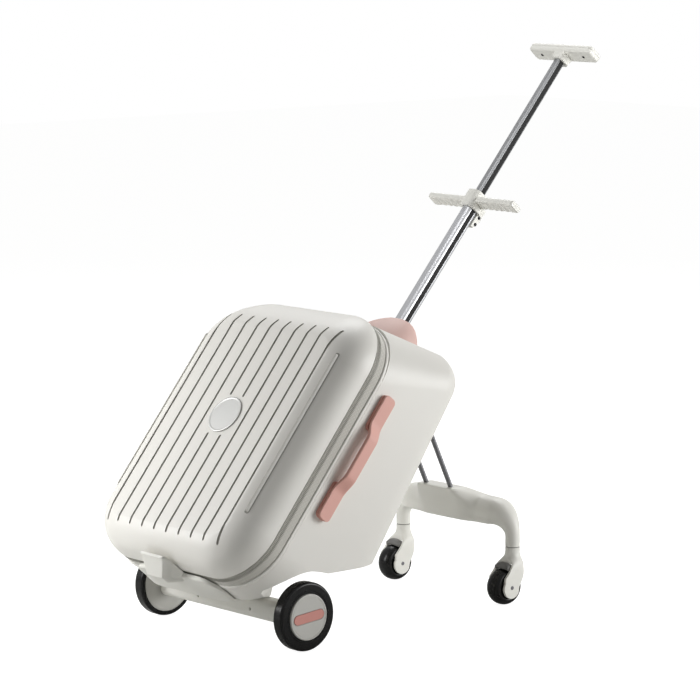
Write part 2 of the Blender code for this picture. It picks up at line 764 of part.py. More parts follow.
def build_saddle():
    lower = top_profile(2 * GAP, PAN_LOW, PAN_HIGH)
    upper = top_profile(2 * GAP + PAN_THICKNESS, PAN_LOW, PAN_HIGH)
    pan_solid = prism("saddle_pan", lower + upper[::-1], PAN_HALF_WIDTH, case, GREY)
    clear_depth = LOWER_DEPTH + 2 * (SLEEVE_WALL + SLIDING + GAP)
    clear_width = LOWER_WIDTH + 2 * (SLEEVE_WALL + SLIDING + GAP)
    cut(pan_solid, pole_bar("pan_hole", clear_depth, clear_width, -0.06, 0.06, None))
    steps = 28
    reach = SADDLE_HALF_LENGTH + 0.02
    bed_line = top_profile(4 * GAP + PAN_THICKNESS, SADDLE_MIDDLE - reach, SADDLE_MIDDLE + reach)
    rows = ((0.98, -0.30), (0.99, 0.0), (1.0, 0.10), (0.98, 0.27), (0.93, 0.44), (0.855, 0.60), (0.75, 0.75),
            (0.60, 0.88), (0.38, 0.965), (0.13, 1.0))
    loops = []
    for scale, share in rows:
        loop = []
        for step in range(steps):
            angle = 2 * pi * step / steps
            power = 2 / 2.3
            along = abs(cos(angle)) ** power * (1 if cos(angle) >= 0 else -1)
            across = abs(sin(angle)) ** power * (1 if sin(angle) >= 0 else -1)
            depth = SADDLE_MIDDLE + SADDLE_HALF_LENGTH * scale * along
            y = SADDLE_HALF_WIDTH * scale * across
            crown = SADDLE_CROWN * (y / SADDLE_HALF_WIDTH) ** 2
            floor = CASE_TOP
            loop.append((depth, y, floor + (saddle_top(depth) - crown - floor) * max(share, 0.0)
                         + min(share, 0.0) * 0.2))
        loops.append(loop)
    pad = loft("saddle", loops, case, PADDING, smooth_under=60)
    lowest = LEG_PIVOT_HEIGHT + SADDLE_OVER_PIVOT
    bed_line = [(depth, max(height, lowest)) for depth, height in bed_line]
    bed = [(bed_line[0][0], -0.1)] + bed_line + [(bed_line[-1][0], -0.1)]
    cut(pad, prism("saddle_bed", bed, SADDLE_HALF_WIDTH + 0.02, case, None))
    cut(pad, pole_bar("saddle_hole", clear_depth, clear_width, -0.06, 0.12, None))
    return pad


# Side handle: two end pads and an arched grip
def build_side_handle():
    face = -(CASE_HALF_WIDTH + GAP)
    middle = (HANDLE_LOW + HANDLE_HIGH) / 2
    half_span = (HANDLE_HIGH - HANDLE_LOW) / 2
    for name, end in (("handle_pad_lower", -1), ("handle_pad_upper", 1)):
        centre = middle + end * (half_span - PAD_LENGTH / 2)
        loops = []
        for inset, rise in ((0.0, 0.0), (0.0, PAD_HEIGHT * 0.8), (0.0008, PAD_HEIGHT)):
            section = rounded_section(HANDLE_WIDTH - 2 * inset, PAD_LENGTH - 2 * inset, PAD_CORNER - inset, 3)
            loops.append([(HANDLE_DEPTH + x, face - rise, centre + z) for x, z in section])
        loft(name, loops, case, PINK)
    steps = 20
    ramp = half_span - PAD_LENGTH
    loops = []
    for step in range(steps + 1):
        along = -half_span + 2 * half_span * step / steps
        over_pad = (abs(along) - ramp + GRIP_RAMP / 2) / GRIP_RAMP
        lift = 1 - min(max(over_pad, 0.0), 1.0)
        lift = lift * lift * (3 - 2 * lift)
        end = min((half_span - abs(along)) / PAD_CORNER, 1.0)
        width = (HANDLE_WIDTH - 2 * PAD_CORNER * (1 - sqrt(1 - (1 - end) ** 2))) * (1 - GRIP_WAIST * lift)
        inner = PAD_HEIGHT + GAP + (GRIP_CLEARANCE - PAD_HEIGHT - GAP) * lift
        thick = GRIP_END_THICKNESS + (GRIP_THICKNESS - GRIP_END_THICKNESS) * lift
        section = rounded_section(width, thick, thick * 0.4, 2)
        loops.append([(HANDLE_DEPTH + x, face - inner - thick / 2 - h, middle + along) for x, h in section])
    return loft("handle_grip", loops, case, PINK)


# Base, stand foot and axle beam
def build_base():
    ceiling = CASE_BOTTOM - RIM_PROUD - GAP
    front_low = UNDERCUT_FRONT_LOW
    slope_point = (UNDERCUT_FRONT_HIGH, (UNDERCUT_CLEARANCE - GAP) / cos(CASE_LEAN)
                   + tan(CASE_LEAN) * UNDERCUT_FRONT_HIGH)
    clear_z = WHEEL_RADIUS + UNDERCUT_CLEARANCE - 2 * GAP
    beam_top = WHEEL_RADIUS - BEAM_DROP + BEAM_HEIGHT / 2 + GAP
    half_beam = BEAM_DEPTH / 2
    lip_bottom = ceiling - BASE_LIP
    outline = [
        (BASE_LIP_FRONT, ceiling),
        (front_low + 0.0005, ceiling),
        (front_low + 0.0025, ceiling + 0.004),
        (slope_point[0] - 0.0040, slope_point[1] - 0.022),
        (slope_point[0] + 0.0050, slope_point[1] - 0.006),
        world_to_case(-0.006, clear_z),
        world_to_case(half_beam + 0.014, clear_z),
        world_to_case(half_beam, beam_top),
        world_to_case(-half_beam - 0.006, beam_top),
        (front_low - 0.004, lip_bottom - 0.002),
        (BASE_LIP_FRONT + FOOT_TAIL + 0.006, lip_bottom),
        (BASE_LIP_FRONT + 0.002, lip_bottom),
        (BASE_LIP_FRONT, lip_bottom + 0.002),
    ]
    prism("base", outline, BASE_HALF_WIDTH, case, WARM)
    top = ceiling - GAP
    foot_outline = (
        (FOOT_FRONT, top),
        (BASE_LIP_FRONT - GAP, top),
        (BASE_LIP_FRONT - GAP, lip_bottom - GAP),
        (BASE_LIP_FRONT + FOOT_TAIL, lip_bottom - GAP),
        (BASE_LIP_FRONT + FOOT_TAIL, lip_bottom - GAP - FOOT_WEB),
        (FOOT_HEEL, -WHEEL_RADIUS),
        (FOOT_TOE, -WHEEL_RADIUS),
        (FOOT_FRONT + 0.006, top - 0.0065),
        (FOOT_FRONT, top - 0.0040),
    )
    loops = []
    for side in (-1, 1):
        loop = []
        for depth, height in foot_outline:
            drop = (top - height) / (top + WHEEL_RADIUS)
            loop.append((depth, side * (FOOT_HALF_WIDTH - FOOT_TAPER * drop), height))
        loops.append(loop)
    bevelled(loft("stand_foot", loops, case, WARM), 0.0010)
    beam_end = WHEEL_FACE - TYRE_SETBACK - TYRE_WIDTH - BEAM_END_GAP
    section = rounded_section(BEAM_DEPTH, BEAM_HEIGHT, BEAM_CORNER, 4)
    middle_z = WHEEL_RADIUS - BEAM_DROP
    loops = [[(x, side, middle_z + z) for x, z in section] for side in (-beam_end, beam_end)]
    beam = loft("axle_beam", loops, ground, WARM)
    for side in (-1, 1):
        bore = rod(f"beam_bore_{side}", (0, side * (beam_end - 0.03), WHEEL_RADIUS), (0, side * (beam_end + 0.01),
                   WHEEL_RADIUS), AXLE_RADIUS + GAP, ground, None)
        cut(beam, bore)


# Rear wheels
def build_rear_wheel(name, side):
    axle = frame(f"{name}_axle", ground, (0, side * WHEEL_FACE, WHEEL_RADIUS))
    outer = -side * TYRE_SETBACK
    inner = outer - side * TYRE_WIDTH
    rounding = 0.0035
    tyre = [
        (TYRE_OUTER_BORE, outer),
        (WHEEL_RADIUS - rounding, outer),
        (WHEEL_RADIUS - 0.001, outer - side * 0.0012),
        (WHEEL_RADIUS, outer - side * rounding),
        (WHEEL_RADIUS, inner + side * rounding),
        (WHEEL_RADIUS - 0.001, inner + side * 0.0012),
        (WHEEL_RADIUS - rounding, inner),
        (TYRE_INNER_BORE, inner),
        (TYRE_INNER_BORE, outer - side * 0.006),
        (TYRE_OUTER_BORE, outer - side * 0.006),
    ]
    turned(f"tyre_{name}", tyre, 32, axle, RUBBER)
    bore = AXLE_RADIUS + RUNNING
    hub_radius = TYRE_OUTER_BORE - GAP
    inner_radius = TYRE_INNER_BORE - GAP
    step_y = outer - side * (0.006 + GAP)
    hub = [
        (bore, 0.0 - side * 0.0045),
        (bore, inner - side * 0.0015),
        (0.012, inner - side * 0.0015),
        (0.014, inner + side * 0.0005),
        (inner_radius - 0.004, inner + side * 0.0005),
        (inner_radius, inner + side * 0.0015),
        (inner_radius, step_y),
        (hub_radius, step_y),
        (hub_radius, -side * 0.0012),
        (hub_radius - 0.0012, 0.0),
        (hub_radius - 0.0030, -side * 0.0002),
        (0.010, -side * 0.0002),
    ]
    cap = turned(f"hub_{name}", hub, 28, axle, WHITE)
    recess = pill(f"pill_recess_{name}", side, 0.0008, GAP, axle, None)
    cut(cap, recess)
    pill(f"hub_accent_{name}", side, 0.0008 - GAP, 0.0, axle, PINK)
    start = WHEEL_FACE - TYRE_SETBACK - TYRE_WIDTH - BEAM_END_GAP - 0.028
    rod(f"axle_pin_{name}", (0, side * start, WHEEL_RADIUS), (0, side * (WHEEL_FACE - 0.0050), WHEEL_RADIUS),
        AXLE_RADIUS, ground, STEEL)


def pill(name, side, sunk, grow, parent, finish):
    """A flat stadium on the hub's face."""
    radius = PILL_HEIGHT / 2 + grow
    reach = PILL_LENGTH / 2 + grow - radius
    outline = []
    steps = 7
    for end in (0, 1):
        for step in range(steps + 1):
            angle = -pi / 2 + pi * step / steps + pi * end
            centre = reach if end == 0 else -reach
            x = centre + radius * cos(angle)
            z = radius * sin(angle)
            outline.append((x * cos(PILL_TILT) - z * sin(PILL_TILT), x * sin(PILL_TILT) + z * cos(PILL_TILT)))
    proud = PILL_PROUD if finish else 0.004
    loops = [[(x, side * y, z) for x, z in outline] for y in (-sunk - 0.0002, proud - 0.0002)]
    return loft(name, loops, parent, finish)


# Fold-out leg
def leg_pivot():
    x, z = case_to_world(LEG_PIVOT_DEPTH, LEG_PIVOT_HEIGHT)
    return Vector((x, 0.0, z))


def build_leg_mount():
    ear_edge = CROSSHEAD_HALF + GAP
    outer = ear_edge + EAR_THICKNESS

    def back_at(height):
        return BACK_FACE - BACK_DRAFT * (height - BACK_DRAFT_LEVEL) + GAP

    plate_low = back_at(MOUNT_LOW)
    plate_high = back_at(MOUNT_HIGH)
    eye = PIN_RADIUS + 0.0065
    outline = [(plate_low, MOUNT_LOW), (plate_high, MOUNT_HIGH)]
    for step in range(9):
        angle = radians(150) - radians(200) * step / 8
        outline.append((LEG_PIVOT_DEPTH + eye * cos(angle), LEG_PIVOT_HEIGHT + eye * sin(angle)))
    outline.append((plate_low + MOUNT_PLATE + 0.004, MOUNT_LOW + 0.012))
    outline.append((plate_low + MOUNT_PLATE, MOUNT_LOW))
    mount = prism("leg_mount", outline, outer, case, WARM)
    slot = [
        (plate_low + MOUNT_PLATE, MOUNT_LOW - 0.01),
        (plate_high + MOUNT_PLATE, MOUNT_HIGH - 0.004),
        (plate_high + MOUNT_PLATE - 0.012, MOUNT_HIGH + 0.001),
        (plate_high - 0.04, MOUNT_HIGH + 0.02),
        (plate_high - 0.04, LEG_PIVOT_HEIGHT + 0.05),
        (LEG_PIVOT_DEPTH + 0.05, LEG_PIVOT_HEIGHT + 0.05),
        (LEG_PIVOT_DEPTH + 0.05, MOUNT_LOW - 0.01),
    ]
    cut(mount, prism("mount_slot", slot, ear_edge, case, None))
    start = (LEG_PIVOT_DEPTH, -outer - 0.01, LEG_PIVOT_HEIGHT)
    end = (LEG_PIVOT_DEPTH, outer + 0.01, LEG_PIVOT_HEIGHT)
    cut(mount, rod("mount_bore", start, end, PIN_RADIUS + GAP, case, None))
    pin_start = (LEG_PIVOT_DEPTH, -outer - 0.002, LEG_PIVOT_HEIGHT)
    pin_end = (LEG_PIVOT_DEPTH, outer + 0.002, LEG_PIVOT_HEIGHT)
    rod("leg_pin", pin_start, pin_end, PIN_RADIUS, case, STEEL)


def closed_curve(points, count):
    """Catmull-Rom curve through a closed list of points, read at equal parameters."""
    total = len(points)
    found = []
    for step in range(count):
        place = total * step / count
        index = int(place)
        t = place - index
        a, b, c, d = (Vector(points[(index + shift) % total]) for shift in (-1, 0, 1, 2))
        found.append(0.5 * (2 * b + (c - a) * t + (2 * a - 5 * b + 4 * c - d) * t**2 + (3 * b - a - 3 * c + d) * t**3))
    return found


def build_bracket(leg):
    """Arched casting: a tall hub between two footrest arms, each turning down into a caster stem."""
    floor = 0.120
    elbow = CASTER_Y - 0.020
    crest = HUB_TOP - floor
    hub = [(0.436, 0.004), (0.428, 0.022), (0.422, 0.040), (0.4155, crest - 0.004), (0.4180, crest),
           (0.433, crest + 0.0002), (0.4485, crest - 0.001), (0.4550, 0.046), (0.470, 0.030), (0.484, 0.016),
           (0.486, 0.006), (0.465, 0.003)]
    arm = [(0.442, 0.004), (0.4405, 0.014), (0.4395, 0.024), (0.444, 0.033), (0.452, 0.041), (0.463, 0.0435),
           (0.475, 0.0425), (0.485, 0.037), (0.490, 0.027), (0.490, 0.015), (0.486, 0.006), (0.465, 0.003)]
    stem = []
    for number in range(12):
        angle = radians(-45 + 30 * number)
        stem.append((CASTER_X - STEM_RADIUS * cos(angle), 0.020 + STEM_RADIUS * sin(angle)))

    def mixed(first, second, share):
        eased = share * share * (3 - 2 * share)
        return [(a[0] + (b[0] - a[0]) * eased, a[1] + (b[1] - a[1]) * eased) for a, b in zip(first, second)]

    half = []
    for y, share in ((0.0, 0.0), (0.020, 0.0), (0.036, 0.0), (0.044, 0.22), (0.052, 0.48), (0.060, 0.74),
                     (0.070, 1.0)):
        section = closed_curve(mixed(hub, arm, share), 20)
        half.append([(x, y, floor + h) for x, h in section])
    for y, share in ((0.084, 0.0), (0.098, 0.12), (elbow, 0.25)):
        section = closed_curve(mixed(arm, stem, share), 20)
        half.append([(x, y, floor + h) for x, h in section])
    for step in range(1, 6):
        angle = pi / 2 * step / 5
        section = closed_curve(mixed(arm, stem, 0.25 + 0.75 * step / 5), 20)
        half.append([(x, elbow + h * sin(angle), floor + h * cos(angle)) for x, h in section])
    section = closed_curve(stem, 20)
    half.append([(x, elbow + h, STEM_END) for x, h in section])
    other = [[(x, -y, z) for x, y, z in loop] for loop in reversed(half[1:])]
    bracket = loft("leg_bracket", other + half, None, WARM, smooth_under=50)
    for side in (-1, 1):
        bore = rod(f"stem_bore_{side}", (CASTER_X, side * CASTER_Y, STEM_END - 0.01),
                   (CASTER_X, side * CASTER_Y, STEM_END + 0.022), KINGPIN_RADIUS + RUNNING, leg, None)
        place_keeping(bore, leg)
        cut(bracket, bore)
        top, bottom = strut_ends(side)
        axis = (top - bottom).normalized()
        socket = rod(f"strut_socket_{side}", bottom - axis * GAP, top, STRUT_RADIUS + GAP, leg, None)
        place_keeping(socket, leg)
        cut(bracket, socket)
    place_keeping(bracket, leg)
    return bracket


def strut_ends(side):
    """Upper and lower end of a strut, in the world frame."""
    pivot = leg_pivot()
    entry = Vector((HUB_X, 0.0, HUB_TOP))
    axis = (entry - pivot).normalized()
    offset = Vector((0.0, side * STRUT_OFFSET, 0.0))
    return pivot + axis * (CROSSHEAD_RADIUS + GAP) + offset, entry + axis * STRUT_SOCKET + offset


def place_keeping(thing, parent):
    """Hang a piece that is drawn in the world frame on a joint's empty, where it is."""
    thing.parent = parent
    thing.location = -Vector(parent.location)


def build_leg():
    pivot = leg_pivot()
    leg = frame("leg_frame", ground, pivot)
    for name, side in (("strut_near", -1), ("strut_far", 1)):
        top, bottom = strut_ends(side)
        place_keeping(rod(name, top, bottom, STRUT_RADIUS, leg, STEEL), leg)
    profile = [(PIN_RADIUS + RUNNING, -CROSSHEAD_HALF), (CROSSHEAD_RADIUS, -CROSSHEAD_HALF),
               (CROSSHEAD_RADIUS, CROSSHEAD_HALF), (PIN_RADIUS + RUNNING, CROSSHEAD_HALF)]
    turned("leg_crosshead", profile, 20, leg, GREY)
    build_bracket(leg)
    for name, side in (("near", -1), ("far", 1)):
        build_caster(name, side, leg)


# Casters
def build_caster(name, side, leg):
    centre_y = side * CASTER_Y
    pivot = Vector(leg.location)
    swivel = frame(f"caster_{name}_swivel", leg, Vector((CASTER_X, centre_y, STEM_END)) - pivot)
    top = -GAP * 4
    drop = STEM_END
    axle_x = -CASTER_TRAIL
    axle_z = CASTER_RADIUS - drop
    outer = CASTER_WIDTH / 2 + FORK_CLEAR + FORK_SIDE
    lobe = 0.0145
    shoulder = FORK_SHOULDER - drop
    outline = [(-STEM_RADIUS, shoulder + 0.006), (STEM_RADIUS - 0.0005, shoulder + 0.006), (0.0108, shoulder),
               (0.0098, 0.058 - drop), (0.0076, 0.046 - drop), (0.0030, 0.035 - drop), (-0.0030, 0.026 - drop)]
    for step in range(8):
        angle = radians(-35) - radians(175) * step / 7
        outline.append((axle_x + lobe * cos(angle), axle_z - 0.001 + lobe * sin(angle)))
    outline += [(-0.0290, 0.042 - drop), (-0.0210, 0.050 - drop), (-0.0145, 0.060 - drop),
                (-0.0118, shoulder - 0.008), (-STEM_RADIUS, shoulder)]
    fork = prism(f"fork_{name}", outline, outer, swivel, WARM)
    front_view = [(-STEM_RADIUS, shoulder + 0.008), (-STEM_RADIUS - 0.0004, shoulder - 0.003),
                  (-outer - 0.001, shoulder - 0.020), (-outer - 0.001, -0.12), (outer + 0.001, -0.12),
                  (outer + 0.001, shoulder - 0.020), (STEM_RADIUS + 0.0004, shoulder - 0.003),
                  (STEM_RADIUS, shoulder + 0.008)]
    envelope = loft(f"fork_envelope_{name}", [[(x, y, z) for y, z in front_view] for x in (-0.08, 0.08)], swivel,
                    None)
    cut(fork, envelope, "INTERSECT")
    yoke = rod(f"fork_yoke_{name}", (0, 0, shoulder), (0, 0, top), STEM_RADIUS, swivel, None, steps=24)
    cut(fork, yoke, "UNION")
    slot_half = CASTER_WIDTH / 2 + FORK_CLEAR
    ceiling = 2 * CASTER_RADIUS + 0.0072 - drop
    slot = [(-0.06, -0.12), (-0.06, ceiling), (0.06, ceiling), (0.06, -0.12)]
    cut(fork, prism(f"fork_slot_{name}", slot, slot_half, swivel, None))
    cut(fork, rod(f"fork_bore_{name}", (axle_x, -0.03, axle_z), (axle_x, 0.03, axle_z), CASTER_AXLE + GAP,
                  swivel, None))
    cut(fork, rod(f"kingpin_bore_{name}", (0, 0, ceiling + 0.006), (0, 0, 0.02), KINGPIN_RADIUS + GAP,
                  swivel, None))
    rod(f"kingpin_{name}", (0, 0, ceiling + 0.0063), (0, 0, 0.020), KINGPIN_RADIUS, swivel, STEEL)
    washer = [(KINGPIN_RADIUS + GAP, -GAP), (STEM_RADIUS - 0.0030, -GAP),
              (STEM_RADIUS - 0.0030, top + GAP), (KINGPIN_RADIUS + GAP, top + GAP)]
    ring_loops = []
    for step in range(16):
        angle = 2 * pi * step / 16
        ring_loops.append([(radius * cos(angle), radius * sin(angle), z) for radius, z in washer])
    loft(f"swivel_washer_{name}", ring_loops, swivel, GREY, ring=True)
    inner_radius = CASTER_RADIUS + 0.0015
    fender = []
    for radius, turns in ((inner_radius, range(7)), (inner_radius + FENDER_THICKNESS, range(6, -1, -1))):
        for step in turns:
            angle = radians(FENDER_START + (FENDER_END - FENDER_START) * step / 6)
            fender.append((axle_x + radius * cos(angle), axle_z + radius * sin(angle)))
    prism(f"fender_{name}", fender, slot_half - GAP, swivel, GREY)
    rod(f"caster_axle_{name}", (axle_x, -outer - 0.0006, axle_z), (axle_x, outer + 0.0006, axle_z), CASTER_AXLE,
        swivel, STEEL)
    wheel = frame(f"caster_{name}_axle", swivel, (axle_x, 0, axle_z))
    half = CASTER_WIDTH / 2
    tyre = [
        (CASTER_BORE, -half * 0.80),
        (CASTER_RADIUS - 0.0050, -half),
        (CASTER_RADIUS - 0.0016, -half * 0.78),
        (CASTER_RADIUS, -half * 0.42),
        (CASTER_RADIUS, half * 0.42),
        (CASTER_RADIUS - 0.0016, half * 0.78),
        (CASTER_RADIUS - 0.0050, half),
        (CASTER_BORE, half * 0.80),
    ]
    turned(f"caster_tyre_{name}", tyre, 24, wheel, RUBBER)
    bore = CASTER_AXLE + RUNNING
    hub = [(bore, -half), (0.006, -half), (0.0075, -half * 0.82), (CASTER_BORE - GAP, -half * 0.78),
           (CASTER_BORE - GAP, half * 0.78), (0.0075, half * 0.82), (0.006, half), (bore, half)]
    turned(f"caster_hub_{name}", hub, 18, wheel, GREY)


# Lid hinges on the far side
def build_hinges(lid):
    axis_y = CASE_HALF_WIDTH + HINGE_OUT
    knuckle = KNUCKLE_RADIUS
    for name, height in zip(("lower", "upper"), HINGE_HEIGHTS):
        half = HINGE_LENGTH / 2
        third = HINGE_LENGTH / 6
        for body, parent, start, spans in (
            ("case", case, RIM_SPAN[0] + 0.001, ((-half, -third - GAP), (third + GAP, half))),
            ("lid", lid, LID_EDGE - 0.001, ((-third, third),)),
        ):
            towards = 1 if body == "case" else -1
            face = CASE_HALF_WIDTH + RIM_PROUD + GAP
            loops = []
            for z in (height - half, height + half):
                loops.append([(start, face, z), (start + towards * LEAF_REACH * 0.5, face, z),
                              (start + towards * LEAF_REACH * 0.5, face + LEAF_THICKNESS, z),
                              (start, face + LEAF_THICKNESS, z)])
            leaf = loft(f"hinge_{body}_{name}", loops, parent, GREY)
            for number, (low, high) in enumerate(spans):
                arm = [(start + towards * 0.001, face + 0.0002), (start + towards * 0.001, face + LEAF_THICKNESS),
                       (ZIP_CENTRE, axis_y + knuckle * 0.6), (ZIP_CENTRE, axis_y - knuckle * 0.6)]
                arm_loops = [[(x, y, height + z) for x, y in arm] for z in (low, high)]
                cut(leaf, loft(f"arm_{body}_{name}_{number}", arm_loops, parent, None), "UNION")
                barrel = rod(f"barrel_{body}_{name}_{number}", (ZIP_CENTRE, axis_y, height + low),
                             (ZIP_CENTRE, axis_y, height + high), knuckle, parent, None)
                cut(leaf, barrel, "UNION")
            bore = rod(f"hinge_bore_{body}_{name}", (ZIP_CENTRE, axis_y, height - half - 0.01),
                       (ZIP_CENTRE, axis_y, height + half + 0.01), HINGE_PIN + GAP, parent, None)
            cut(leaf, bore)
        rod(f"hinge_pin_{name}", (ZIP_CENTRE, axis_y, height - half - 0.001),
            (ZIP_CENTRE, axis_y, height + half + 0.001), HINGE_PIN, case, STEEL)


build_back_shell()
outline_ring("case_rim", RIM_SPAN, -RIM_PROUD, RING_DEPTH, case, WHITE)
outline_ring("zip_tape_case", CASE_TAPE_SPAN, TAPE_INSET, TAPE_INSET + TAPE_DEPTH, case, ZIP)

lid_frame = frame("lid_frame", case, (ZIP_CENTRE, CASE_HALF_WIDTH + HINGE_OUT, 0))
lid_parts = frame("lid_parts", lid_frame, (-ZIP_CENTRE, -CASE_HALF_WIDTH - HINGE_OUT, 0))
build_front_shell(lid_parts)
outline_ring("lid_trim", TRIM_SPAN, TRIM_INSET, RING_DEPTH, lid_parts, GREY)
outline_ring("zip_tape_lid", LID_TAPE_SPAN, TAPE_INSET, TAPE_INSET + TAPE_DEPTH, lid_parts, ZIP)
build_plate(lid_parts)
build_hinges(lid_parts)

build_base()
for wheel_name, wheel_side in (("near", -1), ("far", 1)):
    build_rear_wheel(wheel_name, wheel_side)

build_sleeve()
lower_stage = frame("lower_stage_frame", pole, (0, 0, 0))
tracked_tube("pole_lower", LOWER_DEPTH, LOWER_WIDTH, -LOWER_TAIL, HANDLEBAR_RISE + CLAMP_HEIGHT / 2,
             lower_stage, ALUMINIUM)
build_handlebar(lower_stage)
upper_stage = frame("upper_stage_frame", lower_stage, (0, 0, 0))
tracked_tube("pole_upper", UPPER_DEPTH, UPPER_WIDTH, HANDLEBAR_RISE - UPPER_TAIL,
             T_HANDLE_RISE - T_THICKNESS / 2 + T_SPLIT * 0.5, upper_stage, ALUMINIUM)
button_stage = frame("button_frame", upper_stage, (0, 0, 0))
build_t_handle(upper_stage, button_stage)

build_saddle()
build_side_handle()
build_leg_mount()
build_leg()


def centred_over_ground():
    """Slide the whole object until its box is centred on the origin."""
    bpy.context.view_layer.update()
    graph = bpy.context.evaluated_depsgraph_get()
    spread = []
    for thing in bpy.context.scene.objects:
        if thing.type == "MESH" and not thing.hide_render:
            shaped = thing.evaluated_get(graph)
            spread += [shaped.matrix_world @ vertex.co for vertex in shaped.data.vertices]
    for axis in (0, 1):
        values = [point[axis] for point in spread]
        ground.location[axis] = -(min(values) + max(values)) / 2
    bpy.context.view_layer.update()


centred_over_ground()
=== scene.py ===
"""Looks of a child's ride-on suitcase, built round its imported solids.

World frame in metres, as the solids have it: +X is the direction of travel, +Z is up, z = 0 is the ground.
The sections follow the object as it is put together, from the studio and the case to the casters.
"""

import bmesh
import bpy
from math import copysign, cos, hypot, pi, radians, sin, sqrt, tan
from mathutils import Matrix, Vector


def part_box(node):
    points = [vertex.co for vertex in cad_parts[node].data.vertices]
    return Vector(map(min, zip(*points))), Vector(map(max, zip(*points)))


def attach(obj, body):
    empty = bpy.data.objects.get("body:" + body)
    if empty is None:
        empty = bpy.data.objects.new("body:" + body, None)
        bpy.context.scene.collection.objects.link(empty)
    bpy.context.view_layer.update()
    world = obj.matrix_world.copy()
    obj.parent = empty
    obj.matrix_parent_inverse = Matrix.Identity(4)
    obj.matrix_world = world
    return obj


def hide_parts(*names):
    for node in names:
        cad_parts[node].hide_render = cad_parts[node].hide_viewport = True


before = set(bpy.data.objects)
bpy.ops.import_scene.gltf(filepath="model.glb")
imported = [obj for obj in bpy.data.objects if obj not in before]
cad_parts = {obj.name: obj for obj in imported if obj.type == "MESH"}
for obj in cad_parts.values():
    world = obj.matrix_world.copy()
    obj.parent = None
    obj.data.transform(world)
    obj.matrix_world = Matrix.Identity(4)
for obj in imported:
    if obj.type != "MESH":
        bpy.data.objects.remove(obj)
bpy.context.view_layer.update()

# Studio: a white paper sweep under four soft boxes, with a dim room around. The strip on the left lights
# the face, the low box on the right lights the side, and the shoulder between them stays darker than both.
CAMERA_TURN = radians(-41.3054)
CAMERA_RISE = radians(7.934)
CAMERA_DISTANCE = 5.2385
CAMERA_LENS = 174.103
CAMERA_AIM = Vector((0.2374, 0.0, 0.4102))
FLOOR_HALF = 9
FLOOR_DROP = 0.0006
PAPER_LIFT = 0.50
MIRRORED_ROOM = 0.55
SIDES = (("near", -1), ("far", 1))

tyre_low, tyre_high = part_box("tyre_near")
far_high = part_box("tyre_far")[1]
AXLE = Vector(((tyre_low.x + tyre_high.x) / 2, (tyre_low.y + far_high.y) / 2,
               (tyre_low.z + tyre_high.z) / 2))
GROUND_SHIFT = Vector((AXLE.x, AXLE.y, 0.0))


def linear(code):
    """An sRGB hex colour as linear RGBA."""
    values = [int(code[place : place + 2], 16) / 255 for place in (0, 2, 4)]
    return (*[v / 12.92 if v <= 0.04045 else ((v + 0.055) / 1.055) ** 2.4 for v in values], 1.0)


def add(tree, kind, links=None, **settings):
    """One shader node, with its settings or socket values, and links into its sockets."""
    made = tree.nodes.new("ShaderNode" + kind)
    for name, value in settings.items():
        if hasattr(made, name):
            setattr(made, name, value)
        else:
            made.inputs[name.replace("_", " ")].default_value = value
    for name, source in (links or {}).items():
        tree.links.new(source, made.inputs[name])
    return made


def scaled(tree, source, share):
    made = add(tree, "Math", {0: source}, operation="MULTIPLY")
    made.inputs[1].default_value = share
    return made.outputs[0]


def blank_material(name):
    """A material without nodes, and its tree."""
    material = bpy.data.materials.new(name)
    material.use_nodes = True
    material.node_tree.nodes.clear()
    return material, material.node_tree


# Matt white paper: the camera sees it lifted to white, and the object's shadow stays on it.
paper_sweep, tree = blank_material("paper_sweep")
paper = add(tree, "BsdfDiffuse", Color=linear("E2E2E0"))
lit = add(tree, "Emission", Color=(1, 1, 1, 1), Strength=1.87)
share = scaled(tree, add(tree, "LightPath").outputs["Is Camera Ray"], PAPER_LIFT)
lifted = add(tree, "MixShader", {0: share, 1: paper.outputs[0], 2: lit.outputs[0]})
add(tree, "OutputMaterial", {"Surface": lifted.outputs[0]})
floor_mesh = bpy.data.meshes.new("studio_floor")
floor_corners = [(x * FLOOR_HALF, y * FLOOR_HALF, -FLOOR_DROP)
                 for x, y in ((-1, -1), (1, -1), (1, 1), (-1, 1))]
floor_mesh.from_pydata(floor_corners, [], [(0, 1, 2, 3)])
studio_floor = bpy.data.objects.new("studio_floor", floor_mesh)
bpy.context.scene.collection.objects.link(studio_floor)
floor_mesh.materials.append(paper_sweep)

world = bpy.data.worlds.new("studio_room")
bpy.context.scene.world = world
world.use_nodes = True
room = world.node_tree
room.nodes.clear()
path = add(room, "LightPath")
clear = add(room, "Math", {0: path.outputs["Is Camera Ray"], 1: path.outputs["Is Transmission Ray"]},
            operation="MAXIMUM")
mirrored = scaled(room, path.outputs["Is Glossy Ray"], MIRRORED_ROOM)
seen = add(room, "Math", {0: clear.outputs[0], 1: mirrored}, operation="MAXIMUM")
dim_room = add(room, "Background", Color=linear("D8D8D6"), Strength=0.20)
bright_wall = add(room, "Background", Color=(1, 1, 1, 1), Strength=1.0)
room_mix = add(room, "MixShader", {0: seen.outputs[0], 1: dim_room.outputs[0], 2: bright_wall.outputs[0]})
add(room, "OutputWorld", {"Surface": room_mix.outputs[0]})

